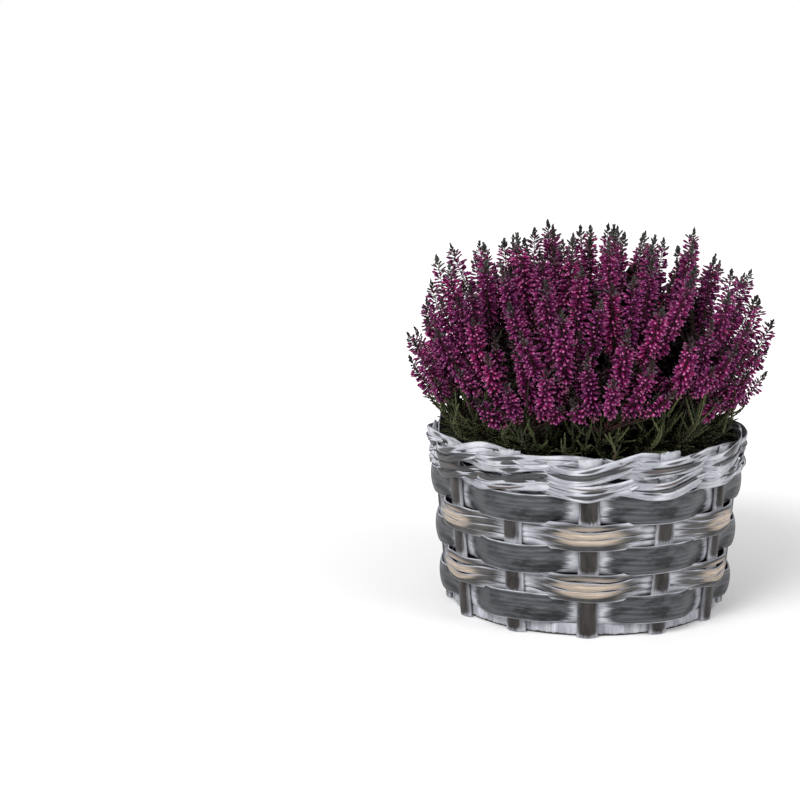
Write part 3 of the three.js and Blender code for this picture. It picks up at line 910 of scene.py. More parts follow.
def add_staves(material):
    """A stave is flat behind and round in front. Its tip spreads and is torn: each column of
    the grid has its own height there. In each gap of the weave a rounded rectangle is rubbed
    bare, which takes the distance from its edge."""
    across, depth = split_section(15, 5, 3)
    for index in range(STAVES):
        node = numbered("stave", index)
        low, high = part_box(node)
        random = np.random.default_rng(70 + index)
        angle = index * TURN / STAVES
        torn = random.uniform(0, TORN_DEPTH, len(across))
        share = np.linspace(0, 1, STAVE_ROWS)[:, None]
        z = mix(low.z, high.z - torn, share)
        spread = 1 - 0.04 * np.sin(19 * share + index) + 0.13 * smooth_step(0.9, 1, share)
        x = STAVE_WIDTH / 2 * spread * across
        face = STAVE_FRONT * (1 - 0.8 * across**2) + STAVE_BACK
        y = -STAVE_BACK + face * depth + 0.12 * MM * np.sin(across * 7 + index + 3 * share)
        y = mix(y, 0.35 * y, smooth_step(0.965, 1, share))
        side = np.array([math.cos(angle), math.sin(angle), 0])
        outwards = on_circle(1, angle, 0)
        body = on_circle(wall_radius(z), angle, z) + x[..., None] * side + y[..., None] * outwards
        worn = np.full(z.shape, COVERED)
        odd = index % 2
        shifted = x - random.uniform(*WINDOW_SHIFT) * odd
        for floor, ceiling in bare_windows(index):
            bottom = floor + random.uniform(*WINDOW_START)
            top = ceiling + WINDOW_OVERLAP
            width = STAVE_WIDTH * (ODD_WINDOW if odd else EVEN_WINDOW)
            size = np.array([width, (top - bottom) / 2]) - WINDOW_CORNER
            apart = np.stack([np.abs(shifted), np.abs(z - (bottom + top) / 2)], -1) - size
            outside = np.linalg.norm(np.maximum(apart, 0), axis=-1)
            inside = np.minimum(apart.max(-1), 0)
            worn = np.maximum(worn, (WINDOW_CORNER - outside - inside) / MM)
        worn = np.where(depth > 0.4, worn, COVERED)
        length = (high.z - low.z) / STAVE_ROWS
        shape = grid_shape(body, grain=lambda row, column: (row * length, column * STAVE_MAP_STEP))
        shape.values = wash_values(np.concatenate([worn.ravel(), [TORN_END, TORN_END]]))
        add_piece(numbered("willow_stave", index), shape, material, [node])


def add_foot_strip(material):
    """The thin strip bent round the foot: its lower edge is ragged, and its streaks run up."""
    low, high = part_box("base_edge_strip")
    across, depth = split_section(7, 3, 3)
    random = np.random.default_rng(90)
    angle = closed_angles(FOOT_STEPS, math.pi)
    ragged = FOOT_RAGGED * np.abs(wander(angle, random, 20, 90))
    z = mix(low.z + ragged[:, None], high.z, (across + 1) / 2)
    bulge = FOOT_BULGE * wander(angle, random, 9, 40)[:, None]
    radius = high.x - FOOT_THICKNESS * (1 - depth) + bulge
    points = on_circle(radius, angle[:, None], z)
    up, round_foot = FOOT_MAP_STEPS
    shape = grid_shape(points, True, grain=lambda row, column: (column * up, row * round_foot))
    worn = 4 * wander(angle, random, 12, 60)[:, None] - 5
    shape.values = wash_values(np.broadcast_to(worn, z.shape))
    add_piece("willow_foot_strip", shape, material, ["base_edge_strip"])


# ---- Filling -------------------------------------------------------------------------------

def turned_shape(radius, z, angle):
    """A surface of revolution whose rows of points are rings. A fan closes each end ring."""
    return grid_shape(on_circle(radius, angle, z))


def profile_along(corners, steps):
    """A polyline through (radius, height) corners, with steps points on each stretch: its radii
    and its heights, as two columns."""
    corners = np.array(corners, float)
    share = np.linspace(0, 1, steps, endpoint=False)[:, None]
    stretches = [mix(a, b, share) for a, b in zip(corners[:-1], corners[1:])]
    return np.hsplit(np.concatenate([*stretches, corners[-1:]]), 2)


def add_board():
    """The base board is a disc with eased edges."""
    low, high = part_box("base_board")
    ease = 0.6 * MM
    corners = [
        (ease, low.z),
        (high.x - ease, low.z),
        (high.x, low.z + ease),
        (high.x, high.z - ease),
        (high.x - ease, high.z),
        (ease, high.z),
    ]
    radius, z = profile_along(corners, 3)
    shape = turned_shape(radius, z, closed_angles(BOARD_STEPS, 0))
    add_piece("basket_board", shape, board_finish(), ["base_board"])


def add_film():
    """The film is a thin cup whose wall puckers inwards in folds that deepen to its lip."""
    low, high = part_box("film_liner")
    lip_height = high.z - LIP_DROP
    random = np.random.default_rng(100)
    angle = closed_angles(FILM_STEPS, 0)
    outer_foot = wall_radius(low.z) - LINER_INSET
    outer_lip = wall_radius(lip_height) - LINER_INSET
    corners = [
        (AXIS_RADIUS, low.z),
        (outer_foot, low.z),
        (outer_lip, lip_height),
        (outer_lip - LINER_WALL, lip_height),
        (outer_foot - LINER_WALL, low.z + LINER_WALL),
        (AXIS_RADIUS, low.z + LINER_WALL),
    ]
    radius, z = profile_along(corners, 6)
    folds = 0.5 + 0.5 * wander(angle, random, 14, 60, 7)
    deep = smooth_step(0.5, 1, (z - low.z) / (high.z - low.z))
    lip = deep * LIP_UNEVEN * wander(angle, random, 5, 30)
    puckered = radius - deep * PUCKER_DEPTH * np.clip(folds, 0, 1.5)
    shape = turned_shape(puckered, z + lip, angle)
    add_piece("film_cup", shape, film_finish(), ["film_liner"])


def spindle(profile, sides):
    """A closed template that stands on Z: rings of sides points at the (share, radius) pairs of
    profile, whose first and last pair are its two ends on the axis."""
    profile = np.array(profile, float)
    turn = closed_angles(sides, 0)
    rings = profile[1:-1]
    circle = np.stack([np.cos(turn), np.sin(turn)], -1)
    height = np.broadcast_to(rings[:, None, :1], (len(rings), sides, 1))
    body = np.concatenate([rings[:, None, 1:] * circle, height], -1)
    shape = grid_shape(body, ends=np.array([[0, 0, profile[0, 0]], [0, 0, profile[-1, 0]]]))
    quads, caps = shape.blocks
    return shape.points, np.concatenate([quads[:, [0, 1, 2]], quads[:, [0, 2, 3]], caps])


def copies(template, base, way, side, length, width, flat=1.0):
    """Copies of a template, each with its foot on its base point, its axis along its way and
    its width along side, and flat times that width square to both."""
    points, faces = template
    third = np.cross(way, side)
    placed = (
        base[:, None]
        + (length[:, None] * points[:, 2])[..., None] * way[:, None]
        + (width[:, None] * points[:, 0])[..., None] * side[:, None]
        + (width[:, None] * flat * points[:, 1])[..., None] * third[:, None]
    )
    offsets = np.arange(len(base))[:, None, None] * len(points)
    return placed.reshape(-1, 3), (faces[None] + offsets).reshape(-1, faces.shape[1])


def copied_values(template, **values):
    """How far up its axis each copy's points lie, and each copy's values for all its points."""
    heights = template[0][:, 2]
    shared = {name: np.repeat(value, len(heights)) for name, value in values.items()}
    count = len(next(iter(values.values())))
    return {"along": np.tile(heights, count), **shared}


def add_soil():
    """The mix is a cone's stump whose low crowned top has clods: sines of the radius times
    wandering values round the circle. Crumbs lie on it."""
    low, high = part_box("potting_mix")
    random = np.random.default_rng(110)
    angle = closed_angles(SOIL_STEPS, 0)
    inset = LINER_INSET + LINER_WALL + SOIL_GAP
    edge = wall_radius(high.z) - inset
    foot = wall_radius(low.z) - inset - 0.5 * MM
    corners = [
        (AXIS_RADIUS, low.z),
        (foot, low.z),
        (edge, high.z - SOIL_EDGE_DROP),
        (AXIS_RADIUS, high.z - SOIL_MIDDLE_DROP),
    ]
    radius, z = profile_along(corners, 20)
    bumps = sum(
        wander(angle, random, waves, waves + 8) * np.sin(radius * 900 / waves + waves)
        for waves in (5, 11, 23)
    )
    raised = smooth_step(high.z - 4 * MM, high.z - 2.6 * MM, z) * bumps * CLOD_HEIGHT
    shape = turned_shape(radius, np.minimum(z + raised, high.z + CLOD_LIMIT), angle)
    material = soil_finish()
    add_piece("soil_fill", shape, material, ["potting_mix"])

    spread = np.sqrt(random.uniform(0.02, 1, CRUMBS)) * (edge - 3 * MM)
    around = random.uniform(0, TURN, CRUMBS)
    base = on_circle(spread, around, high.z - 2 * MM * spread / edge - 1 * MM)
    way = unit(random.normal(size=(CRUMBS, 3)) + [0, 0, 0.5])
    side = unit(np.cross(way, random.normal(size=(CRUMBS, 3))))
    size = random.uniform(*CRUMB_LENGTH, CRUMBS)
    width = size * random.uniform(0.5, 1, CRUMBS)
    crumb = spindle([(0, 0), (0.3, 0.5), (0.75, 0.42), (1, 0)], 4)
    points, faces = copies(crumb, base, way, side, size, width, 0.8)
    add_piece("soil_crumbs", Shape(points, [faces]), material, smooth=False)


# ---- Plant ---------------------------------------------------------------------------------

def chance(a, b):
    """A repeatable draw from 0 to 1: the fraction of a large multiple of a sine of a and b."""
    s = np.sin(12.9898 * (a + 1) + 78.233 * (b + 1)) * 43758.5453
    return s - np.floor(s)


def nearest(places, point):
    """Which of the places is nearest to the point."""
    return int(np.linalg.norm(places - point, axis=-1).argmin())


def dome_points(count, seed, reach):
    """Points spread evenly over the dome of the tips, from its top down, on a sunflower's
    spiral. The dome's height falls as a power of a cosine and its radius grows as that power
    of the sine, drawn in under its waist. Each point lies in its own equal share of the area,
    at a share of the way out to the dome that is drawn from reach."""
    lowest = math.acos((DOME_FOOT / DOME_HEIGHT) ** (1 / DOME_POWER))
    lean = np.linspace(0, lowest, 201)
    height = DOME_HEIGHT * np.cos(lean) ** DOME_POWER
    low = np.maximum(0, 1 - height / DOME_WAIST)
    radius = DOME_RADIUS * np.sin(lean) ** DOME_POWER * (1 - DOME_TUCK * low * low)
    steps = np.hypot(np.diff(radius), np.diff(height))
    area = np.concatenate([[0], np.cumsum((radius[1:] + radius[:-1]) * steps)])
    index = np.arange(count)
    wanted = (index + 0.5) / count * area[-1]
    grown = mix(*reach, chance(index, seed))
    across = np.interp(wanted, area, radius) * grown
    up = np.interp(wanted, area, height) * grown
    return on_circle(across, index * GOLDEN_ANGLE, RIM_HEIGHT + up)


class Curve:
    """A quadratic curve from start, drawn towards bend, to end."""

    def __init__(self, start, bend, end):
        self.start, self.bend, self.end = (np.array(p, float) for p in (start, bend, end))

    def at(self, t):
        """Its points at the shares t: the square of 1 - t times the start, 2t(1 - t) times the
        bend and the square of t times the end."""
        t = np.asarray(t, float)[..., None]
        return (1 - t) ** 2 * self.start + 2 * t * (1 - t) * self.bend + t**2 * self.end

    def tangent(self, t):
        """Its direction at the shares t."""
        t = np.asarray(t, float)[..., None]
        return unit((1 - t) * (self.bend - self.start) + t * (self.end - self.bend))

    def length(self):
        """The length of a polyline of 64 stretches along it."""
        return np.linalg.norm(np.diff(self.at(np.linspace(0, 1, 65)), axis=0), axis=1).sum()

    def frame(self, t):
        """The tangent and two directions square to it, the first the same all along."""
        tangent = self.tangent(t)
        normal = np.cross(self.bend - self.start, self.end - self.start)
        size = np.linalg.norm(normal)
        normal = normal / size if size > 1e-9 else np.array([0.0, 1.0, 0.0])
        normal = np.broadcast_to(normal, tangent.shape)
        return tangent, normal, np.cross(tangent, normal)

    def rest(self, start):
        """The part of the curve from share start to its end."""
        return Curve(self.at(start), mix(self.bend, self.end, start), self.end)


def sprout(curve, t, turn, tilt):
    """Where shoots leave a curve at the shares t: the curve's tangents, the directions straight
    out at the angle turn round it, and the shoots' own, at the angle tilt from the tangent."""
    tangent, normal, binormal = curve.frame(t)
    radial = np.cos(turn)[:, None] * normal + np.sin(turn)[:, None] * binormal
    return tangent, radial, np.cos(tilt)[:, None] * tangent + np.sin(tilt)[:, None] * radial


def tube(curve, radii, sides, rings, span=(0, 1)):
    """A round tube along a span of a curve, whose radius runs evenly between two."""
    t = np.linspace(*span, rings)
    _, normal, binormal = curve.frame(t)
    turn = closed_angles(sides, 0)[:, None]
    radius = np.linspace(*radii, rings)[:, None, None]
    around = np.cos(turn) * normal[:, None] + np.sin(turn) * binormal[:, None]
    return grid_shape(curve.at(t)[:, None] + radius * around, ends=curve.at(span))


class Spike:
    """One upright shoot: its line, the bare share of it, the spray that it belongs to, whether
    it ends short of the dome, and whether it is a leafy shoot without flowers."""

    def __init__(self, curve, bare, spray, short=False, leafy=False):
        self.curve, self.bare, self.spray = curve, bare, spray
        self.short, self.leafy = short, leafy


def upright(tip):
    """0 for the lowest tips, 1 for tips well up the dome."""
    return float(smooth_step(*UPRIGHT, tip[2]))


def stem_curve(index, tip):
    """A stem sets off outwards from the crown and then rises to its spray's leading tip. The
    lowest ones rise sooner, so that their spikes lean out."""
    angle = math.atan2(tip[0], -tip[1])
    reach = math.hypot(tip[0], tip[1])
    foot = (CROWN_RADIUS - STEM_RADIUS[0]) * math.sqrt((index + 0.5) / SPRAYS)
    far, up = mix(np.array(LOW_STEM_BEND), np.array(STEM_BEND), upright(tip))
    return Curve(
        on_circle(foot, angle, CROWN_HEAD - MM),
        on_circle(reach * far, angle, mix(CROWN_HEAD, tip[2], up)),
        tip,
    )


def side_curve(start_share, tip, leader):
    """A side spike leaves the leading spike's stalk, swings clear and rises alongside."""
    start = leader.at(start_share)
    tangent = leader.tangent(1.0)
    way = tip - start
    along = tangent * way.dot(tangent)
    return Curve(start, start + along * SIDE_SWING[0] + (way - along) * SIDE_SWING[1], tip)


def curtain_curve(tip, leader):
    """A curtain spike leaves the leading spike's foot, runs out towards the rim, climbing
    slowly, and rises there, leaning out."""
    out, up = CURTAIN_BEND
    bend = [out * tip[0], out * tip[1], mix(leader.start[2], tip[2], up)]
    return Curve(leader.start, bend, tip)


def bare_share(tip, draw):
    """The flowerless share of a spike: more on the lowest ones."""
    return mix(LOW_BARE, HIGH_BARE, upright(tip)) + UNEVEN_BARE * draw


def curtain_tips():
    """The tips of the curtain, at even angles that are moved a little."""
    random = np.random.default_rng(150)
    angle = np.arange(CURTAIN_SPIKES) * TURN / CURTAIN_SPIKES
    angle = angle + random.uniform(-0.07, 0.07, CURTAIN_SPIKES)
    radius = random.uniform(*CURTAIN_RADIUS, CURTAIN_SPIKES)
    return on_circle(radius, angle, random.uniform(*CURTAIN_TOP, CURTAIN_SPIKES))


def grow_plant():
    """The stems and the spikes. Every tip belongs to the spray whose heart is nearest, and the
    spray's stem leads to its nearest tip. Shorter companions fill the dome, some of them leafy,
    a crest of them fills its top, and a curtain of steep spikes stands all round the rim."""
    hearts = dome_points(SPRAYS, HEART_SEED, TIP_REACH)
    tips = dome_points(SPIKES, TIP_SEED, TIP_REACH)
    companions = dome_points(COMPANIONS, COMPANION_SEED, COMPANION_REACH)
    crest = dome_points(SPIKES, CREST_SEED, CREST_REACH)[:CREST_SPIKES]
    away = np.linalg.norm(tips[:, None] - hearts[None], axis=-1)
    owner = away.argmin(1)
    stems, leaders, spikes = [], [], []
    for spray in range(SPRAYS):
        own = np.flatnonzero(owner == spray)
        own = own[np.argsort(away[own, spray], kind="stable")]
        stem = stem_curve(spray, tips[own[0]])
        leader = stem.rest(STEM_END)
        stems.append(stem)
        leaders.append(leader)
        bare = bare_share(leader.end, chance(spray, COMPANION_SEED))
        spikes.append(Spike(leader, bare, spray))
        for j, tip in enumerate(tips[own[1:]]):
            line = side_curve(FIRST_BRANCH + BRANCH_STEP * j, tip, leader)
            spikes.append(Spike(line, bare_share(tip, chance(spray, j)), spray))
    for k, tip in enumerate(companions):
        spray = nearest(hearts, tip)
        line = side_curve(mix(*COMPANION_BRANCH, chance(k, 1)), tip, leaders[spray])
        bare = bare_share(tip, chance(k, spray))
        spikes.append(Spike(line, bare, spray, short=True, leafy=k % LEAFY_EVERY == 0))
    for k, tip in enumerate(crest):
        spray = nearest(hearts, tip)
        line = side_curve(mix(*CREST_BRANCH, chance(k, 3)), tip, leaders[spray])
        spikes.append(Spike(line, CREST_BARE, spray, short=True))
    for k, tip in enumerate(curtain_tips()):
        spray = nearest(hearts, tip)
        line = curtain_curve(tip, leaders[spray])
        spikes.append(Spike(line, mix(*CURTAIN_BARE, chance(k, 2)), spray, short=True))
    return stems, spikes


def spike_buds(spike, random):
    """The buds of one spike, on a golden-angle spiral whose foot is on the stalk. They stand
    square to the stalk and droop at the spike's foot, where they are fewer and smaller, and
    grow short and steep towards its top. A few small greyish ones climb the thin neck under the
    leafy tip. Spikes high on the dome have longer buds, and the lowest have darker ones."""
    high = upright(spike.curve.end)
    length = spike.curve.length()
    neck = 1 - TIP_LENGTH / length
    slender = random.uniform(0, 1) ** 4
    top = max(neck - mix(*NECK_LENGTH, slender) / length, spike.bare + 0.1)
    neck = max(neck, top)
    count = int(length * (top - spike.bare) / BUD_SPACING * random.uniform(0.9, 1.1))
    small = int(length * (neck - top) / NECK_SPACING) + 1
    share = (np.arange(count) + 0.5) / count
    share = np.clip(share + random.normal(0, 0.006, count), 0, 1) ** 0.8
    t = np.concatenate([mix(spike.bare, top, share), np.linspace(top, neck, small)])
    share = np.concatenate([share, np.ones(small)])
    count += small
    turn = np.arange(count) * GOLDEN_ANGLE + random.uniform(0, TURN) + random.normal(0, 0.25, count)
    tilt = (mix(92, 60, share**4) + random.normal(0, 10, count)) * DEGREE
    tangent, _, way = sprout(spike.curve, t, turn, tilt)
    way[:, 2] -= 0.2 * (1 - share)
    way = unit(way)
    side = unit(np.cross(way, tangent + 0.3 * random.normal(size=(count, 3))))
    foot_swell = np.minimum(1, 0.42 + 1.8 * share)
    top_swell = mix(1, mix(0.88, 0.45, slender), smooth_step(0.84, 1, share))
    reach = mix(*BUDS_REACH, high) * foot_swell * top_swell * random.uniform(0.66, 1.12, count)
    width = BUD_WIDTH * mix(1, 0.72, share**4) * random.uniform(0.7, 1.25, count)
    ripe = np.clip(1.0 - share + random.normal(0, 0.03, count), 0, 1)
    ripe[-small:] = 0
    shade = random.uniform(0.05, 0.8) * mix(0.72, 1, high)
    tint = np.clip(random.normal(shade, 0.25, count), 0, 1)
    return spike.curve.at(t), way, side, reach, width, ripe, tint


def add_buds(spikes):
    """The buds of each spray: blunt clubs whose thin foot is the bud's own stalk."""
    material = bud_finish()
    bud = spindle([(0, 0), (0.52, 0.36), (0.8, 0.5), (1, 0)], 4)
    random = np.random.default_rng(200)
    for spray in range(SPRAYS):
        flowering = [spike for spike in spikes if spike.spray == spray and not spike.leafy]
        parts = [spike_buds(spike, random) for spike in flowering]
        base, way, side, size, width, ripe, tint = (np.concatenate(part) for part in zip(*parts))
        points, faces = copies(bud, base, way, side, size, width)
        values = copied_values(bud, ripe=ripe, tint=tint)
        name, node = numbered("heather_buds", spray), numbered("flower_spray", spray)
        add_piece(name, Shape(points, [faces], values), material, [node])


# Leaves as templates: a slim one with three sides for the twigs, and a rounder one for the tips
TWIG_LEAF = (
    np.array([[0.5, 0, 0], [-0.25, 0.43, 0], [-0.25, -0.43, 0], [0, 0, 1]]),
    np.array([[0, 2, 1], [0, 1, 3], [1, 2, 3], [2, 0, 3]]),
)
TIP_LEAF = spindle([(0, 0), (0.35, 0.45), (0.75, 0.4), (1, 0)], 4)


def scale_leaves(curve, span, spacing, size, tilt, random, dull, slim):
    """Pairs of scale leaves along a curve, each pair square to the one below it. size and tilt
    are functions of the share from the span's start to its end, and slim is a leaf's width as
    a share of its length."""
    pairs = max(3, int(curve.length() * (span[1] - span[0]) / spacing))
    share = np.repeat((np.arange(pairs) + 0.5) / pairs, 2)
    turn = np.repeat(np.arange(pairs) * math.pi / 2, 2) + np.tile([0, math.pi], pairs)
    turn = turn + random.uniform(0, TURN) + random.normal(0, 0.15, len(turn))
    lean = (tilt(share) + random.normal(0, 5, len(share))) * DEGREE
    t = mix(*span, share)
    _, radial, way = sprout(curve, t, turn, lean)
    side = unit(np.cross(way, radial + 0.05 * random.normal(size=way.shape)))
    length = size(share) * random.uniform(0.85, 1.15, len(share))
    tint = np.clip(random.normal(random.uniform(0, 0.9), 0.15, len(share)), 0, 1)
    # Each leaf also carries the value that darkens it with painted shade or turns it grey
    return curve.at(t), way, side, length, length * slim, tint, np.full(len(share), dull)


def leaf_shape(parts, leaf):
    """One shape with all the leaves of the parts."""
    base, way, side, length, width, tint, dull = (np.concatenate(part) for part in zip(*parts))
    points, faces = copies(leaf, base, way, side, length, width, 0.6)
    return Shape(points, [faces], copied_values(leaf, tint=tint, dull=dull))


def add_spike_tips(spikes, material):
    """Every spike ends in an arrow of close leaf pairs that open downwards. The higher a long
    spike's tip is, the larger and greyer its arrow may be, and the arrows of the short spikes
    and the low ones are darkened with painted shade. Leafy shoots carry smaller leaves all the
    way up, partly darkened with painted shade."""
    random = np.random.default_rng(300)
    parts = []
    for spike in spikes:
        length = spike.curve.length()
        height = spike.curve.end[2]
        prominent = 0 if spike.short else float(smooth_step(*PROMINENT, height))
        prominent *= random.uniform(0.3, 1)
        grown = random.uniform(0.85, 1.15) * mix(SHORT_TIPS, 1, prominent)
        foot = 1 - TIP_LENGTH / length
        parts.append(
            scale_leaves(
                spike.curve,
                (foot, 1 - TIP_TOP / length),
                TIP_SPACING,
                size=lambda share: grown * mix(*TIP_LEAF_LENGTH, share),
                tilt=lambda share: mix(54, 8, share),
                random=random,
                # Mostly painted shade, and more of the real grey the more prominent the tip is
                dull=mix(0.92, 1, prominent),
                slim=TIP_SLIM,
            )
        )
        if spike.leafy:
            parts.append(
                scale_leaves(
                    spike.curve,
                    (spike.bare, foot),
                    LEAF_SPACING,
                    size=lambda share: grown * mix(*SHOOT_LEAF_LENGTH, share),
                    tilt=lambda share: mix(60, 48, share),
                    random=random,
                    # Partly painted shade
                    dull=0.55,
                    slim=LEAF_SLIM,
                )
            )
    add_piece("spike_tips", leaf_shape(parts, TIP_LEAF), material)


def twig(start, way, length, lift):
    """A leafy twig: it sets off along way and curves up by lift."""
    end = start + way * length
    bend = mix(start, end, 0.5)
    return Curve(start, bend, end + np.array([0, 0, lift]))


def side_twigs(curve, random, span, count, length, swing):
    """Twigs that leave a span of a curve on all sides, at a swing from its direction. length
    and swing are the ranges that each twig's are drawn from."""
    share = (np.arange(count) + random.uniform(0.2, 0.8, count)) / count
    t = mix(*span, share)
    turn = np.arange(count) * GOLDEN_ANGLE + random.uniform(0, TURN)
    lean = random.uniform(*swing, count) * DEGREE
    way = sprout(curve, t, turn, lean)[2]
    way[:, 2] = np.maximum(way[:, 2], 0.05)
    sizes = random.uniform(*length, count)
    return [twig(p, w, s, 0.12 * s) for p, w, s in zip(curve.at(t), unit(way), sizes)]


def skirt_curves(random):
    """Low leafy stems that fan out from the crown on a golden-angle spiral, keep low as far as
    the rim and rise there."""
    curves = []
    for index in range(SKIRT_STEMS):
        angle = index * GOLDEN_ANGLE + random.uniform(-0.2, 0.2)
        share = math.sqrt((index + 0.5) / SKIRT_STEMS)
        reach = mix(*SKIRT_REACH, share) * random.uniform(0.94, 1.03)
        top = random.uniform(*SKIRT_TOP)
        curves.append(
            Curve(
                on_circle(0.8 * CROWN_RADIUS, angle, CROWN_HEAD - 2 * MM),
                on_circle(0.98 * reach, angle, random.uniform(*SKIRT_BEND)),
                on_circle(reach, angle, top),
            )
        )
    return curves


def rim_sprig(skirt, random):
    """A sprig that leaves a skirt stem half way along and ends over the rim."""
    toward = math.atan2(skirt.end[0], -skirt.end[1]) + random.uniform(-0.15, 0.15)
    rim = on_circle(random.uniform(*SPRIG_RADIUS), toward, random.uniform(*SPRIG_TOP))
    start = skirt.at(0.5)
    return Curve(start, mix(start, rim, 0.5), rim)


def dome_reach(point):
    """How far out a point lies, from 0 at the middle of the rim to 1 on the dome of the tips."""
    power = 2 / DOME_POWER
    across = math.hypot(point[0], point[1]) / DOME_RADIUS
    up = max(0, point[2] - RIM_HEIGHT) / DOME_HEIGHT
    return (across**power + up**power) ** (1 / power)


def inner_shoots(stems):
    """Upright leafy shoots that fill the heart of the plant, each from the nearest stem."""
    tips = dome_points(INNER_SHOOTS, INNER_SEED, INNER_REACH)
    heads = np.stack([stem.end for stem in stems])
    shoots = []
    for k, tip in enumerate(tips):
        stem = stems[nearest(heads, tip)]
        start = stem.at(mix(*INNER_BRANCH, chance(k, 5)))
        bend = mix(start, tip, 0.5)
        bend[:2] = mix(start[:2], tip[:2], 0.75)
        shoots.append(Curve(start, bend, tip))
    return shoots


def leafy_axes(lines, dull):
    """The green axes of leafy twigs, with the values of a leaf's lower part."""
    shapes = []
    for line in lines:
        shape = tube(line, TWIG_RADIUS, 3, 3)
        # The axes take the same painted shade as their leaves
        values = {"along": 0.3, "tint": 0.5, "dull": dull}
        shape.values = {name: np.full(len(shape.points), value) for name, value in values.items()}
        shapes.append(shape)
    return shapes


def add_foliage(stems, spikes, material):
    """Leafy twigs on the low skirt, some of them sprigs that end over the rim, twigs on the
    stems and along the spikes, and the shoots in the heart of the plant. The low ones have
    large leaves that lie close, and the shoots have long loose ones. The twigs up in the plant
    are darkened with painted shade, and the shoots in its heart the most."""
    random = np.random.default_rng(400)
    skirts = skirt_curves(random)
    low, high = [], []
    for skirt in skirts:
        low += side_twigs(skirt, random, *SKIRT_TWIGS)
        low += [skirt.rest(0.5), rim_sprig(skirt, random)]
    for stem in stems:
        high += side_twigs(stem, random, *STEM_TWIGS)
    for spike in spikes:
        high += side_twigs(spike.curve, random, *SPIKE_TWIGS)
    low = [line for line in low if math.hypot(line.end[0], line.end[1]) < SKIRT_REACH[1]]
    high = [line for line in high if dome_reach(line.end) < TWIG_REACH]
    # Each kind's spacing, how large, how wide and how far open its leaves are, and how much
    # painted shade darkens it
    kinds = (
        ("leafy_twigs_low", low, LEAF_SPACING, 1.4, 0.5, -13, 0.0),
        ("leafy_twigs_high", high, LEAF_SPACING, 1, 0.45, 0, 0.6),
        ("leafy_twigs_inner", inner_shoots(stems), 2.6 * LEAF_SPACING, 3.2, 0.85, 25, 0.9),
    )
    for name, lines, spacing, large, slim, opened, dull in kinds:
        parts = [
            scale_leaves(
                line,
                (0.06, 0.99),
                spacing,
                size=lambda share: mix(1, 0.75, share) * LEAF_LENGTH * large,
                tilt=lambda share: mix(38, 18, share) + opened,
                random=random,
                dull=dull,
                slim=slim,
            )
            for line in lines
        ]
        shapes = [leaf_shape(parts, TWIG_LEAF), *leafy_axes(lines, dull)]
        add_piece(name, Shape.joined(shapes), material)
    return skirts


def add_stems(stems, spikes, skirts):
    """The stems and the spikes' stalks are tapering tubes. The crown is a stump whose knots are
    sines round it and up it."""
    shapes = []
    # Each kind's radii, sides, rings, span and how young its bark is
    kinds = (
        (stems, STEM_RADIUS, 7, 12, (0, STEM_END), 0.1),
        (skirts, SKIRT_RADIUS, 5, 10, (0, 1), 0.3),
        ([spike.curve for spike in spikes], STALK_RADIUS, 4, 9, (0, 1), 0.9),
    )
    for curves, radii, sides, rings, span, young in kinds:
        for curve in curves:
            shape = tube(curve, radii, sides, rings, span)
            shape.values = {"young": np.full(len(shape.points), young)}
            shapes.append(shape)
    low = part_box("leafy_stems")[0].z
    corners = [
        (AXIS_RADIUS, low),
        (CROWN_RADIUS, low),
        (CROWN_RADIUS, SOIL_TOP),
        (CROWN_RADIUS - CROWN_TAPER, CROWN_HEAD),
        (AXIS_RADIUS, CROWN_HEAD),
    ]
    radius, z = profile_along(corners, 8)
    angle = closed_angles(CROWN_STEPS, 0)
    knots = 1 + 0.06 * np.sin(7 * angle) * np.sin(z * 700)
    crown = turned_shape(np.minimum(radius * knots, CROWN_RADIUS), z, angle)
    crown.values = {"young": np.zeros(len(crown.points))}
    shapes.append(crown)
    add_piece("woody_stems", Shape.joined(shapes), stem_finish(), ["leafy_stems"])


# ---- Stage ---------------------------------------------------------------------------------

def add_camera():
    """A long lens, a little above the rim."""
    data = bpy.data.cameras.new("camera")
    data.lens = LENS_LENGTH
    data.sensor_width = SENSOR_WIDTH
    camera = bpy.data.objects.new("camera", data)
    camera.location = CAMERA_PLACE
    camera.rotation_euler = (CAMERA_PITCH, 0, CAMERA_YAW)
    bpy.context.scene.collection.objects.link(camera)
    bpy.context.scene.camera = camera


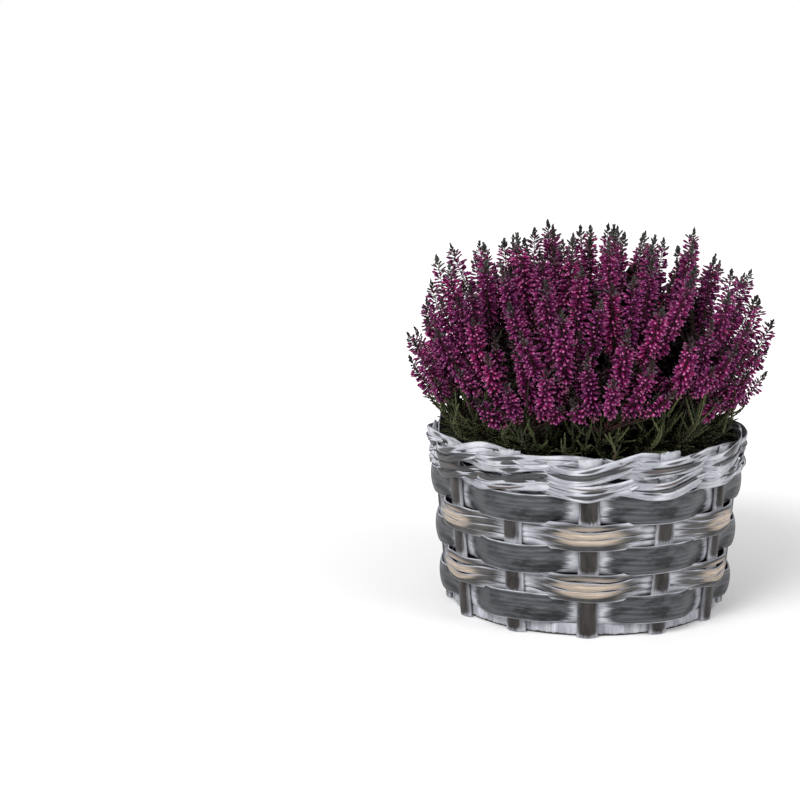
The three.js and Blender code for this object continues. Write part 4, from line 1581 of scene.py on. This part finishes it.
def add_light(name, place, power):
    """A soft round lamp that is turned to the middle of the object."""
    data = bpy.data.lights.new(name, "AREA")
    data.shape = "DISK"
    data.size = LAMP_SIZE
    data.energy = power
    light = bpy.data.objects.new(name, data)
    light.location = place
    way = np.array(OBJECT_MIDDLE, float) - np.array(place, float)
    flat = math.hypot(way[0], way[1])
    light.rotation_euler = (math.atan2(flat, -way[2]), 0, math.atan2(-way[0], way[1]))
    bpy.context.scene.collection.objects.link(light)


def add_stage():
    """A pale floor that fades into a white surround, and two soft lights. The surround shows
    white but lights the object less than that, so that the gaps between shoots stay dark."""
    mesh = bpy.data.meshes.new("floor")
    signs = ((-1, -1), (1, -1), (1, 1), (-1, 1))
    corners = [(FLOOR_REACH * x, FLOOR_REACH * y, 0) for x, y in signs]
    mesh.from_pydata(corners, [], [(0, 1, 2, 3)])
    mesh.materials.append(floor_finish())
    floor = bpy.data.objects.new("floor", mesh)
    bpy.context.scene.collection.objects.link(floor)
    world = bpy.data.worlds.new("studio")
    world.use_nodes = True
    tree = world.node_tree
    surround = tree.nodes["Background"]
    surround.inputs["Color"].default_value = (1, 1, 1, 1)
    seen = tree.nodes.new("ShaderNodeLightPath").outputs["Is Camera Ray"]
    strength = tree.nodes.new("ShaderNodeMapRange")
    strength.inputs["To Min"].default_value = AMBIENT
    tree.links.new(seen, strength.inputs["Value"])
    tree.links.new(strength.outputs["Result"], surround.inputs["Strength"])
    bpy.context.scene.world = world
    add_light("key_light", KEY_PLACE, KEY_POWER)
    add_light("fill_light", FILL_PLACE, FILL_POWER)
    bpy.context.scene.view_settings.view_transform = "Standard"


# ---- The whole -----------------------------------------------------------------------------

add_camera()
add_stage()
add_wide_weavers(willow_finish("bark_willow"))
add_narrow_weavers(willow_finish("peeled_willow"))
washed_willow = willow_finish("washed_willow")
add_border(washed_willow)
add_splinters(washed_willow)
add_staves(willow_finish("stave_willow"))
add_foot_strip(washed_willow)
add_board()
add_film()
add_soil()
plant_stems, plant_spikes = grow_plant()
add_buds(plant_spikes)
leaf_material = leaf_finish()
add_spike_tips(plant_spikes, leaf_material)
skirt_lines = add_foliage(plant_stems, plant_spikes, leaf_material)
add_stems(plant_stems, plant_spikes, skirt_lines)
